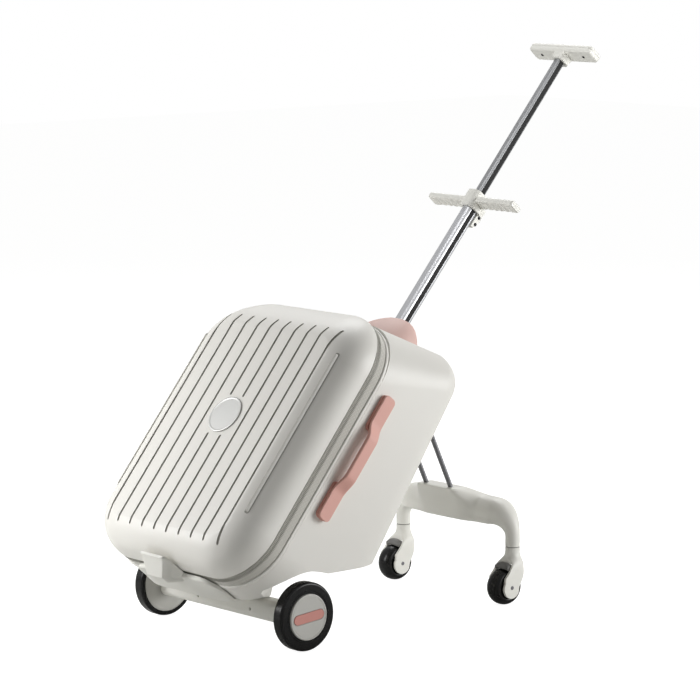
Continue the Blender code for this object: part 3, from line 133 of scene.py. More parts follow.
bpy.context.scene.view_settings.view_transform = "Standard"
for name, place, aim, size, watts, spread in (
    ("strip_box_left", (-0.72, 0.58, 0.62), (0.0, 0.05, 0.27), (0.40, 0.70), 8.3, 180),
    ("soft_box_right", (2.1, -2.1, 0.8), (0.3, 0.0, 0.35), (1.6, 1.4), 54, 180),
    ("soft_box_top", (1.6, 1.4, 2.6), (0.3, 0.0, 0.35), (1.6, 1.6), 45, 180),
    ("soft_box_high", (-0.10, -0.60, 1.50), (0.72, 0.0, 0.98), (0.40, 0.40), 1.15, 70),
):
    light = bpy.data.lights.new(name, "AREA")
    light.shape = "RECTANGLE"
    light.size, light.size_y = size
    light.energy = watts
    light.spread = radians(spread)
    lamp = bpy.data.objects.new(name, light)
    lamp.location = GROUND_SHIFT + Vector(place)
    lamp.rotation_euler = (Vector(aim) - Vector(place)).to_track_quat("-Z", "Y").to_euler()
    lamp.visible_camera = False
    bpy.context.scene.collection.objects.link(lamp)

camera_data = bpy.data.cameras.new("camera")
camera_data.sensor_width = 36.0
camera_data.lens = CAMERA_LENS
camera = bpy.data.objects.new("camera", camera_data)
backwards = Vector((sin(CAMERA_TURN) * cos(CAMERA_RISE), -cos(CAMERA_TURN) * cos(CAMERA_RISE),
                    sin(CAMERA_RISE)))
camera.location = GROUND_SHIFT + CAMERA_AIM + backwards * CAMERA_DISTANCE
camera.rotation_euler = (-backwards).to_track_quat("-Z", "Y").to_euler()
bpy.context.scene.collection.objects.link(camera)
bpy.context.scene.camera = camera

# Back shell: the deep half of the hard case, thermoformed from a satin polycarbonate sheet.
# It is undercut over the rear wheels, and a grey polyester lining is bonded inside it.
GAP = 0.0003
SLIDING = 0.0005
CASE_LEAN = radians(39.2)
CASE_HALF_WIDTH = 0.180
CASE_BOTTOM = -0.026
CASE_TOP = 0.439
TOP_CORNER = 0.097
BOTTOM_CORNER = 0.080
CORNER_STEPS = 18
SHELL_WALL = 0.003
BACK_FACE = 0.073
BACK_DRAFT = 0.09
BACK_DRAFT_LEVEL = 0.24
BACK_CORNER = 0.050
BACK_TOP_CORNER = 0.046
TOP_RISE = 0.215
ZIP_CENTRE = -0.1250
LID_TAPE_WIDTH = 0.0048
CASE_TAPE_WIDTH = 0.0158
TRIM_WIDTH = 0.0016
RIM_WIDTH = 0.0060
LID_TAPE_SPAN = (ZIP_CENTRE - GAP / 2 - LID_TAPE_WIDTH, ZIP_CENTRE - GAP / 2)
TRIM_SPAN = (LID_TAPE_SPAN[0] - GAP - TRIM_WIDTH, LID_TAPE_SPAN[0] - GAP)
LID_EDGE = TRIM_SPAN[0] - GAP
CASE_TAPE_SPAN = (ZIP_CENTRE + GAP / 2, ZIP_CENTRE + GAP / 2 + CASE_TAPE_WIDTH)
RIM_SPAN = (CASE_TAPE_SPAN[1] + GAP, CASE_TAPE_SPAN[1] + GAP + RIM_WIDTH)
CASE_EDGE = RIM_SPAN[1] + GAP
UNDERCUT_BEND = 0.014
UNDERCUT_END = 0.30
UNDERCUT_FLOOR = -0.12
UNDERCUT_CLEARANCE = 0.061
UNDERCUT_FRONT_LOW = -0.072
UNDERCUT_FRONT_HIGH = -0.058
ARCH_RISE = 0.0078
ARCH_BEFORE = 0.066
ARCH_AFTER = 0.042
ARCH_FALL_BEFORE = 0.0238
ARCH_FALL_AFTER = 0.0098
ARCH_START = 0.147
WHEEL_RADIUS = AXLE.z
TOOL_REACH = 0.05

IN_WORLD = Matrix.Translation(GROUND_SHIFT)
IN_CASE = Matrix.Translation(AXLE) @ Matrix.Rotation(CASE_LEAN, 4, "Y")


def linked(name, shaped, material=None):
    """A bmesh as an object in the scene."""
    bmesh.ops.recalc_face_normals(shaped, faces=shaped.faces)
    mesh = bpy.data.meshes.new(name)
    shaped.to_mesh(mesh)
    shaped.free()
    if material:
        mesh.materials.append(material)
    thing = bpy.data.objects.new(name, mesh)
    bpy.context.scene.collection.objects.link(thing)
    return thing


def skin(name, loops, place, material=None, ring=False):
    """Skin over loops of equal length, capped at both ends or joined into a ring, set in its place."""
    count = len(loops[0])
    shaped = bmesh.new()
    rows = [[shaped.verts.new(place @ Vector(point)) for point in loop] for loop in loops]
    for low, high in zip(rows, rows[1:] + (rows[:1] if ring else [])):
        for here in range(count):
            there = (here + 1) % count
            shaped.faces.new((low[here], low[there], high[there], high[here]))
    if not ring:
        shaped.faces.new(rows[0])
        shaped.faces.new(rows[-1])
    return linked(name, shaped, material)


def slab(name, outline, half_width, place):
    """An outline in depth and height, drawn out sideways."""
    return skin(name, [[(x, side, z) for x, z in outline] for side in (-half_width, half_width)], place)


def settled(thing):
    """The thing with its modifiers applied."""
    graph = bpy.context.evaluated_depsgraph_get()
    mesh = bpy.data.meshes.new_from_object(thing.evaluated_get(graph))
    thing.modifiers.clear()
    thing.data = mesh
    return thing


def cut(thing, tool, operation="DIFFERENCE"):
    """Cut with a tool, whose faces keep its own material, or else take the thing's first."""
    if thing.data.materials and not tool.data.materials:
        tool.data.materials.append(thing.data.materials[0])
    modifier = thing.modifiers.new(tool.name, "BOOLEAN")
    modifier.operation = operation
    modifier.solver = "EXACT"
    modifier.material_mode = "TRANSFER"
    modifier.object = tool
    settled(thing)
    bpy.data.objects.remove(tool, do_unlink=True)
    return thing


def eased(thing, width, segments=2, angle=35):
    """Its edges rounded, as a mould or a tumbler leaves them."""
    modifier = thing.modifiers.new("edges", "BEVEL")
    modifier.width = width
    modifier.segments = segments
    modifier.limit_method = "ANGLE"
    modifier.angle_limit = radians(angle)
    modifier.harden_normals = False
    return settled(thing)


def placed(thing, material, body, *nodes, smooth_under=32):
    """Shade a finished piece, give it its material and hand it to the body that it rides on."""
    if not thing.data.materials:
        thing.data.materials.append(material)
    else:
        thing.data.materials[0] = material
    thing.data.shade_smooth()
    thing.data.set_sharp_from_angle(angle=radians(smooth_under))
    modifier = thing.modifiers.new("flat_faces_first", "WEIGHTED_NORMAL")
    modifier.keep_sharp = True
    modifier.weight = 70
    settled(thing)
    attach(thing, body)
    if nodes:
        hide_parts(*nodes)
    return thing


def noise(tree, scale, detail, roughness=0.5, vector=None):
    """Noise in the piece's own coordinates, or in those given."""
    vector = vector or add(tree, "TexCoord").outputs["Object"]
    return add(tree, "TexNoise", {"Vector": vector}, Scale=scale, Detail=detail,
               Roughness=roughness).outputs["Fac"]


def tinted(tree, source, first, second):
    return add(tree, "MixRGB", {0: source}, Color1=linear(first), Color2=linear(second)).outputs[0]


def polished(tree, source, low, high):
    return add(tree, "MapRange", {"Value": source}, To_Min=low, To_Max=high).outputs[0]


def finished(material, tree, height, strength, distance, links, **settings):
    """The material with its shader, which has a relief as well as these links and settings."""
    relief = add(tree, "Bump", {"Height": height}, Strength=strength, Distance=distance)
    shader = add(tree, "BsdfPrincipled", {**links, "Normal": relief.outputs[0]}, **settings)
    add(tree, "OutputMaterial", {"Surface": shader.outputs[0]})
    return material


def moulded(name, colour, shade, roughness, grain_mm, grain_depth, coat=0.0):
    """Injection-moulded or thermoformed plastic: a fine spark-eroded grain, a colour that drifts a little at
    random, and a roughness that varies a little with the grain."""
    material, tree = blank_material(name)
    grain = noise(tree, 1000 / grain_mm, 3.0, 0.6)
    links = {"Base Color": tinted(tree, noise(tree, 9.0, 2.0), colour, shade),
             "Roughness": polished(tree, grain, roughness - 0.05, roughness + 0.05)}
    return finished(material, tree, grain, 0.35, grain_depth, links, IOR=1.53, Coat_Weight=coat,
                    Coat_Roughness=0.3)


def woven(name, colour, shade, thread_mm):
    """Polyester cloth: two crossed sets of threads, matt and a little darker between the threads."""
    material, tree = blank_material(name)
    turned = add(tree, "Mapping", {"Vector": add(tree, "TexCoord").outputs["Object"]},
                 Rotation=(0.4, 0.3, 0.785))
    threads = [add(tree, "TexWave", {"Vector": turned.outputs[0]}, Scale=50 / thread_mm,
                   bands_direction=direction).outputs["Fac"] for direction in "XZ"]
    weave = add(tree, "Math", {0: threads[0], 1: threads[1]}, operation="MULTIPLY").outputs[0]
    return finished(material, tree, weave, 0.5, 0.0002, {"Base Color": tinted(tree, weave, shade, colour)},
                    Roughness=0.85, Sheen_Weight=0.25, Sheen_Roughness=0.5)


# The eye sees a cream white sheet with a soft, broad highlight, and matt grey cloth inside it.
shell_sheet = moulded("thermoformed_polycarbonate", "ECEAE4", "E7E5DF", 0.46, 0.9, 0.00003,
                      0.08)
lining = woven("polyester_lining", "8E8C88", "6F6D6A", 0.8)


def circle(count):
    """(cos, sin) once round."""
    return [(cos(2 * pi * step / count), sin(2 * pi * step / count)) for step in range(count)]


def quarter_turn(steps, first=0):
    """(cos, sin) from 0 to 90 degrees."""
    return [(cos(pi / 2 * step / steps), sin(pi / 2 * step / steps)) for step in range(first, steps + 1)]


def rounded_outline(half, bottom, top, lower, upper):
    """A rectangle with two lower and two upper corner radii, as (y, z) points."""
    points = []
    for number, (side, z, radius) in enumerate((
            (1, top - upper, upper), (-1, top - upper, upper), (-1, bottom + lower, lower),
            (1, bottom + lower, lower))):
        for step in range(CORNER_STEPS + 1):
            angle = pi / 2 * (number + step / CORNER_STEPS)
            points.append((side * (half - radius) + radius * cos(angle), z + radius * sin(angle)))
    return points


def case_outline(inset):
    sides = (CASE_HALF_WIDTH - inset, CASE_BOTTOM + inset, CASE_TOP - inset)
    return rounded_outline(*sides, BOTTOM_CORNER - inset, TOP_CORNER - inset)


def back_stations(wall):
    """(inset, depth) of each loop from the rim to the back face, for a wall drawn in by its thickness."""
    start = BACK_FACE - BACK_CORNER
    corner = BACK_CORNER - wall
    stations = [(wall, CASE_EDGE + (start - CASE_EDGE) * step / 6) for step in range(7)]
    return stations + [(wall + corner * (1 - c), start + corner * s) for c, s in quarter_turn(16, 1)]


def back_loop(inset, depth):
    start = BACK_FACE - BACK_CORNER
    share = (depth - CASE_EDGE) / (BACK_FACE - CASE_EDGE)
    top = CASE_TOP + TOP_RISE * (min(depth, start) - ZIP_CENTRE)
    upper = TOP_CORNER - (TOP_CORNER - BACK_TOP_CORNER) * share
    sides = (CASE_HALF_WIDTH - inset, CASE_BOTTOM + inset, top - inset)
    return [(depth - share * BACK_DRAFT * (z - BACK_DRAFT_LEVEL), y, z)
            for y, z in rounded_outline(*sides, BOTTOM_CORNER - inset, upper - inset)]


def undercut(offset):
    """The space under the back shell, in depth and height, grown by an offset."""
    slope = tan(CASE_LEAN)
    level = (UNDERCUT_CLEARANCE + offset) / cos(CASE_LEAN)
    corner = UNDERCUT_FRONT_HIGH - offset
    low = (UNDERCUT_FRONT_LOW - offset, CASE_BOTTOM)
    high = (corner, level + slope * corner)
    length = hypot(high[0] - low[0], high[1] - low[1])
    before = (high[0] + UNDERCUT_BEND * cos(CASE_LEAN), high[1] + UNDERCUT_BEND * sin(CASE_LEAN))
    after = [high[axis] + (low[axis] - high[axis]) * UNDERCUT_BEND / length for axis in (0, 1)]
    points = [(UNDERCUT_END, UNDERCUT_FLOOR), (UNDERCUT_END, level + slope * UNDERCUT_END)]
    for step in range(9):
        share = step / 8
        points.append([(1 - share) ** 2 * before[axis] + 2 * share * (1 - share) * high[axis]
                       + share**2 * after[axis] for axis in (0, 1)])
    return points + [low, (low[0], UNDERCUT_FLOOR)]


def world_to_case(x, z):
    rise = z - WHEEL_RADIUS
    return x * cos(CASE_LEAN) - rise * sin(CASE_LEAN), x * sin(CASE_LEAN) + rise * cos(CASE_LEAN)


def wheel_arch(name, side, offset):
    """The shallow arch over one rear wheel, grown by an offset."""
    level = WHEEL_RADIUS + UNDERCUT_CLEARANCE
    before = ARCH_BEFORE + offset
    after = ARCH_AFTER + offset
    outline = [(after, level - 0.030), (-before, level - 0.030)]
    for step in range(33):
        x = -before + (before + after) * step / 32
        fall = ARCH_FALL_BEFORE * (-x / before) ** 1.9 if x < 0 else ARCH_FALL_AFTER * (x / after) ** 1.5
        outline.append((x, level + ARCH_RISE - fall + offset))
    outline = [world_to_case(x, z) for x, z in outline]
    ends = (side * (ARCH_START - offset), side * (CASE_HALF_WIDTH + TOOL_REACH))
    return skin(name, [[(depth, y, height) for depth, height in outline] for y in ends], IN_CASE)


POLE_LEAN = radians(1.75)
POLE_EXIT = (0.0180, 0.0, CASE_TOP + 0.031)
SLEEVE_WALL = 0.0035
LOWER_DEPTH = 0.0240
LOWER_WIDTH = 0.0190
IN_POLE = IN_CASE @ Matrix.Translation(POLE_EXIT) @ Matrix.Rotation(POLE_LEAN, 4, "Y")


def rounded_section(depth, width, corner, steps=6):
    """A rectangle with round corners, as (x, y) points."""
    points = []
    for number, (sign_x, sign_y) in enumerate(((1, 1), (-1, 1), (-1, -1), (1, -1))):
        for step in range(steps + 1):
            angle = pi / 2 * (number + step / steps)
            x = sign_x * (depth / 2 - corner) + corner * cos(angle)
            y = sign_y * (width / 2 - corner) + corner * sin(angle)
            points.append((x, y))
    return points


def drawn_out(name, section, start, end):
    """An (x, y) section drawn out along the pole."""
    return skin(name, [[(x, y, z) for x, y in section] for z in (start, end)], IN_POLE)


def pole_bar(name, start, end, grow, depth=LOWER_DEPTH, width=LOWER_WIDTH):
    """A bar along the pole, with the lower tube's section grown all round."""
    depth += 2 * grow
    width += 2 * grow
    return drawn_out(name, rounded_section(depth, width, min(depth, width) * 0.30), start, end)


cavity_loops = [back_loop(*place) for place in back_stations(SHELL_WALL)]
mouth = [(CASE_EDGE - 0.02, y, z) for _, y, z in cavity_loops[0]]
cavity = skin("cavity", [mouth] + cavity_loops, IN_CASE, lining)
past_sides = CASE_HALF_WIDTH + TOOL_REACH
cut(cavity, slab("cavity_floor", undercut(SHELL_WALL), past_sides, IN_CASE))
back_shell = skin("back_shell_skin", [back_loop(*place) for place in back_stations(0.0)], IN_CASE,
                  shell_sheet)
cut(back_shell, slab("undercut", undercut(0.0), past_sides, IN_CASE))
for side in (-1, 1):
    cut(cavity, wheel_arch("arch_roof", side, SHELL_WALL))
    cut(back_shell, wheel_arch("arch", side, 0.0))
cut(back_shell, cavity)
cut(back_shell, pole_bar("sleeve_hole", -TOOL_REACH, TOOL_REACH, SLEEVE_WALL + SLIDING + GAP))
placed(back_shell, shell_sheet, "case", "back_shell", smooth_under=30)

# Rim of the back shell: a moulded bead that stiffens the opening, with the zip tape sewn inside it.
# The tape is grey woven polyester, and it closes with a nylon coil that runs round the whole outline.
RIM_PROUD = 0.0012
RING_DEPTH = 0.0034
TAPE_INSET = 0.0010
TAPE_DEPTH = 0.0024
TRIM_INSET = 0.0016
COIL_PITCH = 0.0024
COIL_RADIUS = 0.00065
COIL_HALF = 0.0016
COIL_EDGE = 0.0019

# The eye sees plastic a little duller than the shell, pale cloth, a dark line painted on the piping as the
# shadow gap at the lid's edge, and a ribbed grey coil.
warm_abs = moulded("moulded_abs_warm_white", "E9E8E2", "E4E3DC", 0.48, 0.7, 0.00003)
zip_cloth = woven("woven_zip_tape", "D6D4CD", "C4C2BA", 0.6)
painted_gap_shadow = moulded("piping_painted_shadow_line", "7C7B75", "71706B", 0.6, 0.5, 0.00005)
coil_nylon = moulded("nylon_zip_coil", "A9A7A0", "9B9992", 0.42, 0.4, 0.00002)


def outline_ring(name, span, outward, inward, rounding):
    """A band round the whole outline, with its two outer edges rounded."""
    section = [(inward, span[0]), (outward + rounding, span[0])]
    section += [(outward + rounding * (1 - s), span[0] + rounding * (1 - c)) for c, s in quarter_turn(3, 1)]
    section += [(outward + rounding * (1 - c), span[1] - rounding * (1 - s)) for c, s in quarter_turn(3)]
    section.append((inward, span[1]))
    return skin(name, [[(depth, y, z) for y, z in case_outline(inset)] for inset, depth in section], IN_CASE,
                ring=True)


def coil(name, depth):
    """Coil teeth along the outline: one short bar across the tape at each pitch."""
    outline = case_outline(TAPE_INSET - 0.0002)
    shaped = bmesh.new()
    run = following = 0.0
    for (y0, z0), (y1, z1) in zip(outline, outline[1:] + outline[:1]):
        length = hypot(y1 - y0, z1 - z0)
        while following <= run + length and length > 0:
            share = (following - run) / length
            along = Vector((0.0, (y1 - y0) / length, (z1 - z0) / length))
            outward = Vector((0.0, along.z, -along.y))
            middle = Vector((depth, y0 + (y1 - y0) * share, z0 + (z1 - z0) * share))
            corners = []
            for x in (-COIL_HALF, COIL_HALF):
                for c, s in circle(6):
                    point = middle + (along * c + outward * s) * COIL_RADIUS + Vector((x, 0.0, 0.0))
                    corners.append(shaped.verts.new(IN_CASE @ point))
            for turn in range(6):
                there = (turn + 1) % 6
                shaped.faces.new((corners[turn], corners[there], corners[6 + there], corners[6 + turn]))
            shaped.faces.new(corners[:6])
            shaped.faces.new(corners[6:])
            following += COIL_PITCH
        run += length
    return linked(name, shaped)


placed(outline_ring("case_rim_bead", RIM_SPAN, -RIM_PROUD, RING_DEPTH, 0.0020), shell_sheet, "case",
       "case_rim")
placed(outline_ring("zip_tape_case_cloth", CASE_TAPE_SPAN, TAPE_INSET, TAPE_INSET + TAPE_DEPTH, 0.0006),
       zip_cloth, "case", "zip_tape_case")
placed(coil("zip_coil_case", CASE_TAPE_SPAN[0] + COIL_EDGE), coil_nylon, "case")

# Front shell: the lid, a domed tray pressed from the same sheet as the back shell.
# Ten narrow grooves stiffen its face, and one raised accent rib runs down each side of it.
FRONT_FACE = -0.188
SHOULDER_EDGE = 0.0022
SHOULDER_SIDE = 0.0445
SHOULDER_TOP = 0.070
SHOULDER_BOTTOM = 0.043
SHOULDER_FULLNESS = 2.35
SHOULDER_TOP_FULLNESS = 1.35
SHOULDER_ARC = 0.64
SHOULDER_STEPS = 20
FACE_CORNER = 0.034
GROOVE_COUNT = 10
GROOVE_PITCH = 0.0291
GROOVE_WIDTH = 0.0042
GROOVE_DEPTH = 0.0020
GROOVE_LOW = CASE_BOTTOM + 0.033
GROOVE_HIGH = CASE_TOP - 0.050
PLATE_HEIGHT = 0.212
PLATE_RADIUS = 0.031
PLATE_CLEAR = 0.007
RIB_OFFSET = 0.1535
RIB_LOW = 0.068
RIB_HIGH = 0.345
RIB_WIDTH = 0.0034
RIB_PROUD = 0.0023
RIB_ROOT = 0.0012
BED_WIDTH = 0.0062
BED_DEPTH = 0.0006
BED_MARGIN = 0.003
TOOL_RISE = 0.004

# The eye sees fine dark lines: the cut faces of the grooves and rib beds get a greyer, duller copy of the
# sheet, painted shade in these recesses.
groove_painted_shade = moulded("polycarbonate_painted_groove_shade", "AFADA6", "A8A69F", 0.6, 0.9, 0.00003)


def shoulder_fall(share):
    """Share of the depth gained at a share of the inset, round an arc that meets the face at a crease."""

    def arc(along):
        return (1 - (1 - along) ** SHOULDER_FULLNESS) ** (1 / SHOULDER_FULLNESS)

    return min(arc(share * SHOULDER_ARC) / arc(SHOULDER_ARC), 1.0)


def shoulder_sides(share, wall):
    fall = shoulder_fall(share)
    top_share = 1 - (1 - fall**SHOULDER_TOP_FULLNESS) ** (1 / SHOULDER_TOP_FULLNESS)
    half = CASE_HALF_WIDTH - wall - (SHOULDER_SIDE - wall) * share
    bottom = CASE_BOTTOM + wall + (SHOULDER_BOTTOM - wall) * share
    top = CASE_TOP - wall - (SHOULDER_TOP - wall) * top_share
    lower = BOTTOM_CORNER - wall - (BOTTOM_CORNER - FACE_CORNER) * share
    upper = TOP_CORNER - wall - (TOP_CORNER - FACE_CORNER) * max(share, top_share)
    return half, bottom, top, lower, upper


def shoulder_depth(y, z):
    """Depth of the front shell's outer face at a point of its front."""
    low, high = 0.0, 1.0
    for _ in range(24):
        share = (low + high) / 2
        half, bottom, top, lower, upper = shoulder_sides(share, 0.0)
        middle = (top + bottom) / 2
        corner = upper if z > middle else lower
        over_y = abs(y) - (half - corner)
        over_z = abs(z - middle) - ((top - bottom) / 2 - corner)
        beyond = hypot(over_y, over_z) if over_y > 0 and over_z > 0 else max(over_y, over_z)
        if beyond <= corner:
            low = share
        else:
            high = share
    start = LID_EDGE - SHOULDER_EDGE
    return start - (start - FRONT_FACE) * shoulder_fall(low)


def surface_bar(name, y, start, end, half_section, material=None):
    """A bar that follows the face at one y. Half its section is given as (side, rise), the middle last."""
    section = half_section + [(-side, rise) for side, rise in reversed(half_section)]
    steps = 22
    loops = []
    for step in range(steps + 1):
        z = start + (end - start) * (1 - cos(pi * step / steps)) / 2
        close = 1.0 - 0.55 * (abs(2 * step / steps - 1) ** 30)
        loops.append([(shoulder_depth(y + side * close, z) - rise, y + side * close, z)
                      for side, rise in section])
    return skin(name, loops, IN_CASE, material)


outer_loops = [[(LID_EDGE, y, z) for y, z in case_outline(0.0)]]
inner_loops = [[(LID_EDGE, y, z) for y, z in case_outline(SHELL_WALL)]]
shell_start = LID_EDGE - SHOULDER_EDGE
for c, _ in quarter_turn(SHOULDER_STEPS):
    share = 1 - c
    for loops, wall in ((outer_loops, 0.0), (inner_loops, SHELL_WALL)):
        depth = shell_start - (shell_start - FRONT_FACE - wall) * shoulder_fall(share)
        loops.append([(depth, y, z) for y, z in rounded_outline(*shoulder_sides(share, wall))])
front_shell = skin("front_shell_skin", inner_loops[::-1] + outer_loops, IN_CASE, shell_sheet)
groove = [(-GROOVE_WIDTH / 2, TOOL_RISE), (-GROOVE_WIDTH / 2, -GROOVE_DEPTH * 0.5),
          (-GROOVE_WIDTH * 0.36, -GROOVE_DEPTH)]
# Each groove tool carries the painted groove shade onto the faces it cuts.
for number in range(GROOVE_COUNT):
    y = (number - (GROOVE_COUNT - 1) / 2) * GROOVE_PITCH
    spans = [(GROOVE_LOW, GROOVE_HIGH)]
    if abs(y) < PLATE_RADIUS:
        half_gap = sqrt(PLATE_RADIUS**2 - y**2) + PLATE_CLEAR
        spans = [(GROOVE_LOW, PLATE_HEIGHT - half_gap), (PLATE_HEIGHT + half_gap, GROOVE_HIGH)]
    for start, end in spans:
        cut(front_shell, surface_bar("groove_tool", y, start, end, groove, groove_painted_shade))
rib = [(RIB_WIDTH / 2, -RIB_ROOT), (RIB_WIDTH / 2, RIB_PROUD * 0.5), (RIB_WIDTH * 0.28, RIB_PROUD)]
rib_bed = [(-BED_WIDTH / 2, TOOL_RISE), (-BED_WIDTH / 2, -BED_DEPTH)]
# The rib beds are cut with the same painted shade, which darkens the sides of each rib.
for side in (-1, 1):
    y = side * RIB_OFFSET
    cut(front_shell, surface_bar("rib_bed_tool", y, RIB_LOW - BED_MARGIN, RIB_HIGH + BED_MARGIN, rib_bed,
                                 groove_painted_shade))
    cut(front_shell, surface_bar("rib_tool", y, RIB_LOW, RIB_HIGH, rib), "UNION")
placed(front_shell, shell_sheet, "lid", "front_shell", smooth_under=26)

# Edge of the lid: a thin piping sewn to the lid's half of the zip tape, with its half of the coil.
# It is painted dark grey as the shadow gap beside the shell's edge, and shows as a fine line there.
placed(outline_ring("lid_piping", TRIM_SPAN, TRIM_INSET, RING_DEPTH, 0.0007), painted_gap_shadow, "lid", "lid_trim")
placed(outline_ring("zip_tape_lid_cloth", LID_TAPE_SPAN, TAPE_INSET, TAPE_INSET + TAPE_DEPTH, 0.0006),
       zip_cloth, "lid", "zip_tape_lid")
placed(coil("zip_coil_lid", LID_TAPE_SPAN[1] - COIL_EDGE), coil_nylon, "lid")

# Blank badge: a thin turned disc of satin nickel-plated aluminium, glued in the middle of the lid.
# Its rolled edge stands a little above the middle.
PLATE_THICKNESS = 0.0022


def brushed(name, colour, roughness, line_mm, stretch, strength):
    """Metal with fine drawn or brushed lines along one direction, which streak its highlights."""
    material, tree = blank_material(name)
    turned = add(tree, "Mapping", {"Vector": add(tree, "TexCoord").outputs["Object"]},
                 Rotation=(0.0, -CASE_LEAN, 0.0), Scale=(1.0, 1.0, stretch))
    lines = noise(tree, 1000 / line_mm, 2.0, 0.6, turned.outputs[0])
    links = {"Roughness": polished(tree, lines, roughness - 0.06, roughness + 0.08)}
    return finished(material, tree, lines, strength, 0.00003, links, Base_Color=linear(colour), Metallic=1.0)


# The eye sees a silvery disc a shade darker than the lid, with a thin bright edge.
plate_metal = brushed("satin_plated_aluminium", "B4B4B2", 0.48, 0.5, 0.03, 0.25)
plate_loops = []
for inset, rise in ((0.0, 0.0), (0.0, 0.0012), (0.0004, 0.0019), (0.0012, PLATE_THICKNESS),
                    (0.0026, PLATE_THICKNESS), (0.0034, 0.0018), (0.0040, PLATE_THICKNESS * 0.7)):
    radius = PLATE_RADIUS - inset
    plate_loops.append([(FRONT_FACE - GAP - rise, radius * c, PLATE_HEIGHT + radius * s)
                        for c, s in circle(96)])
placed(skin("badge_disc", plate_loops, IN_CASE), plate_metal, "lid", "badge_plate")

# Base: the moulded plinth under the case, with its lip under the zip and the square foot that the case
# stands on when it is upright. The hollow axle beam is moulded in one with the same warm white plastic.
BASE_HALF_WIDTH = 0.098
BASE_ROUND = 0.034
BASE_MIDDLE = -0.075
BASE_LIP = 0.0075
BASE_LIP_FRONT = -0.1290
FOOT_HALF_WIDTH = 0.032
FOOT_ROUND = 0.007
FOOT_TAPER = 0.009
FOOT_FRONT = -0.176
FOOT_TOE = -0.150
FOOT_TAIL = 0.012
FOOT_WEB = 0.003
FOOT_HEEL = -0.136
BEAM_HEIGHT = 0.032
BEAM_DEPTH = 0.034
BEAM_CORNER = 0.010
BEAM_DROP = 0.002
WHEEL_FACE = 0.1788
TYRE_WIDTH = 0.020
TYRE_SETBACK = 0.0028
BEAM_END = WHEEL_FACE - TYRE_SETBACK - TYRE_WIDTH - 0.0025
AXLE_RADIUS = 0.005
SCREW_Y = 0.062
SCREW_RADIUS = 0.0022

ceiling = CASE_BOTTOM - RIM_PROUD - GAP
slope_x = UNDERCUT_FRONT_HIGH
slope_z = (UNDERCUT_CLEARANCE - GAP) / cos(CASE_LEAN) + tan(CASE_LEAN) * UNDERCUT_FRONT_HIGH
clear_z = WHEEL_RADIUS + UNDERCUT_CLEARANCE - 2 * GAP
beam_top = WHEEL_RADIUS - BEAM_DROP + BEAM_HEIGHT / 2 + GAP
half_beam = BEAM_DEPTH / 2
lip_bottom = ceiling - BASE_LIP
base_outline = [
    (BASE_LIP_FRONT, ceiling),
    (UNDERCUT_FRONT_LOW + 0.0005, ceiling),
    (UNDERCUT_FRONT_LOW + 0.0025, ceiling + 0.004),
    (slope_x - 0.0040, slope_z - 0.022),
    (slope_x + 0.0050, slope_z - 0.006),
    world_to_case(-0.006, clear_z),
    world_to_case(half_beam + 0.014, clear_z),
    world_to_case(half_beam, beam_top),
    world_to_case(-half_beam - 0.006, beam_top),
    (UNDERCUT_FRONT_LOW - 0.004, lip_bottom - 0.002),
    (BASE_LIP_FRONT + FOOT_TAIL + 0.006, lip_bottom),
    (BASE_LIP_FRONT + 0.002, lip_bottom),
    (BASE_LIP_FRONT, lip_bottom + 0.002),
]


def round_ended(name, outline, half_width, radius, draw_in, hinge, taper=0.0):
    """An outline drawn out sideways, which draws in towards one point on its own top at both ends."""
    ends = [(-1, c, s) for c, s in reversed(quarter_turn(8))] + [(1, c, s) for c, s in quarter_turn(8)]
    loops = []
    for side, c, s in ends:
        keep = 1 - (1 - c) * draw_in
        loops.append([(hinge[0] + (depth - hinge[0]) * keep,
                       side * (half_width - radius * (1 - s) - taper * (hinge[1] - height)),
                       hinge[1] + (height - hinge[1]) * keep) for depth, height in outline])
    return skin(name, loops, IN_CASE)


plinth = round_ended("base_plinth", base_outline, BASE_HALF_WIDTH, BASE_ROUND, 0.8, (BASE_MIDDLE, ceiling))
placed(eased(plinth, 0.0012, 3, 30), warm_abs, "case", "base")
foot_top = ceiling - GAP
foot_outline = (
    (FOOT_FRONT, foot_top),
    (BASE_LIP_FRONT - GAP, foot_top),
    (BASE_LIP_FRONT - GAP, lip_bottom - GAP),
    (BASE_LIP_FRONT + FOOT_TAIL, lip_bottom - GAP),
    (BASE_LIP_FRONT + FOOT_TAIL, lip_bottom - GAP - FOOT_WEB),
    (FOOT_HEEL, -WHEEL_RADIUS),
    (FOOT_TOE, -WHEEL_RADIUS),
    (FOOT_FRONT + 0.006, foot_top - 0.0065),
    (FOOT_FRONT, foot_top - 0.0040),
)
foot = round_ended("stand_foot_block", foot_outline, FOOT_HALF_WIDTH, FOOT_ROUND, 0.45,
                   (BASE_LIP_FRONT, foot_top), FOOT_TAPER / (foot_top + WHEEL_RADIUS))
placed(eased(foot, 0.0016, 3), warm_abs, "case", "stand_foot")


def rod(name, start, end, radius, place, steps=32):
    start = Vector(start)
    end = Vector(end)
    turn = (end - start).to_track_quat("Z", "Y")
    ring = [turn @ Vector((radius * c, radius * s, 0.0)) for c, s in circle(steps)]
    return skin(name, [[centre + point for point in ring] for centre in (start, end)], place)


beam_z = WHEEL_RADIUS - BEAM_DROP
beam_section = rounded_section(BEAM_DEPTH, BEAM_HEIGHT, BEAM_CORNER, 8)
beam = slab("axle_beam_tube", [(x, beam_z + z) for x, z in beam_section], BEAM_END, IN_WORLD)
for side in (-1, 1):
    cut(beam, rod("beam_bore", (0, side * (BEAM_END - 0.03), WHEEL_RADIUS),
                  (0, side * (BEAM_END + 0.01), WHEEL_RADIUS), AXLE_RADIUS + GAP, IN_WORLD))
    hole = (side * SCREW_Y, beam_z - 0.002)
    cut(beam, rod("screw_hole", (-half_beam - 0.004, *hole), (-half_beam + 0.007, *hole), SCREW_RADIUS,
                  IN_WORLD, 20))
placed(eased(beam, 0.0008, 2, 50), warm_abs, "case", "axle_beam")

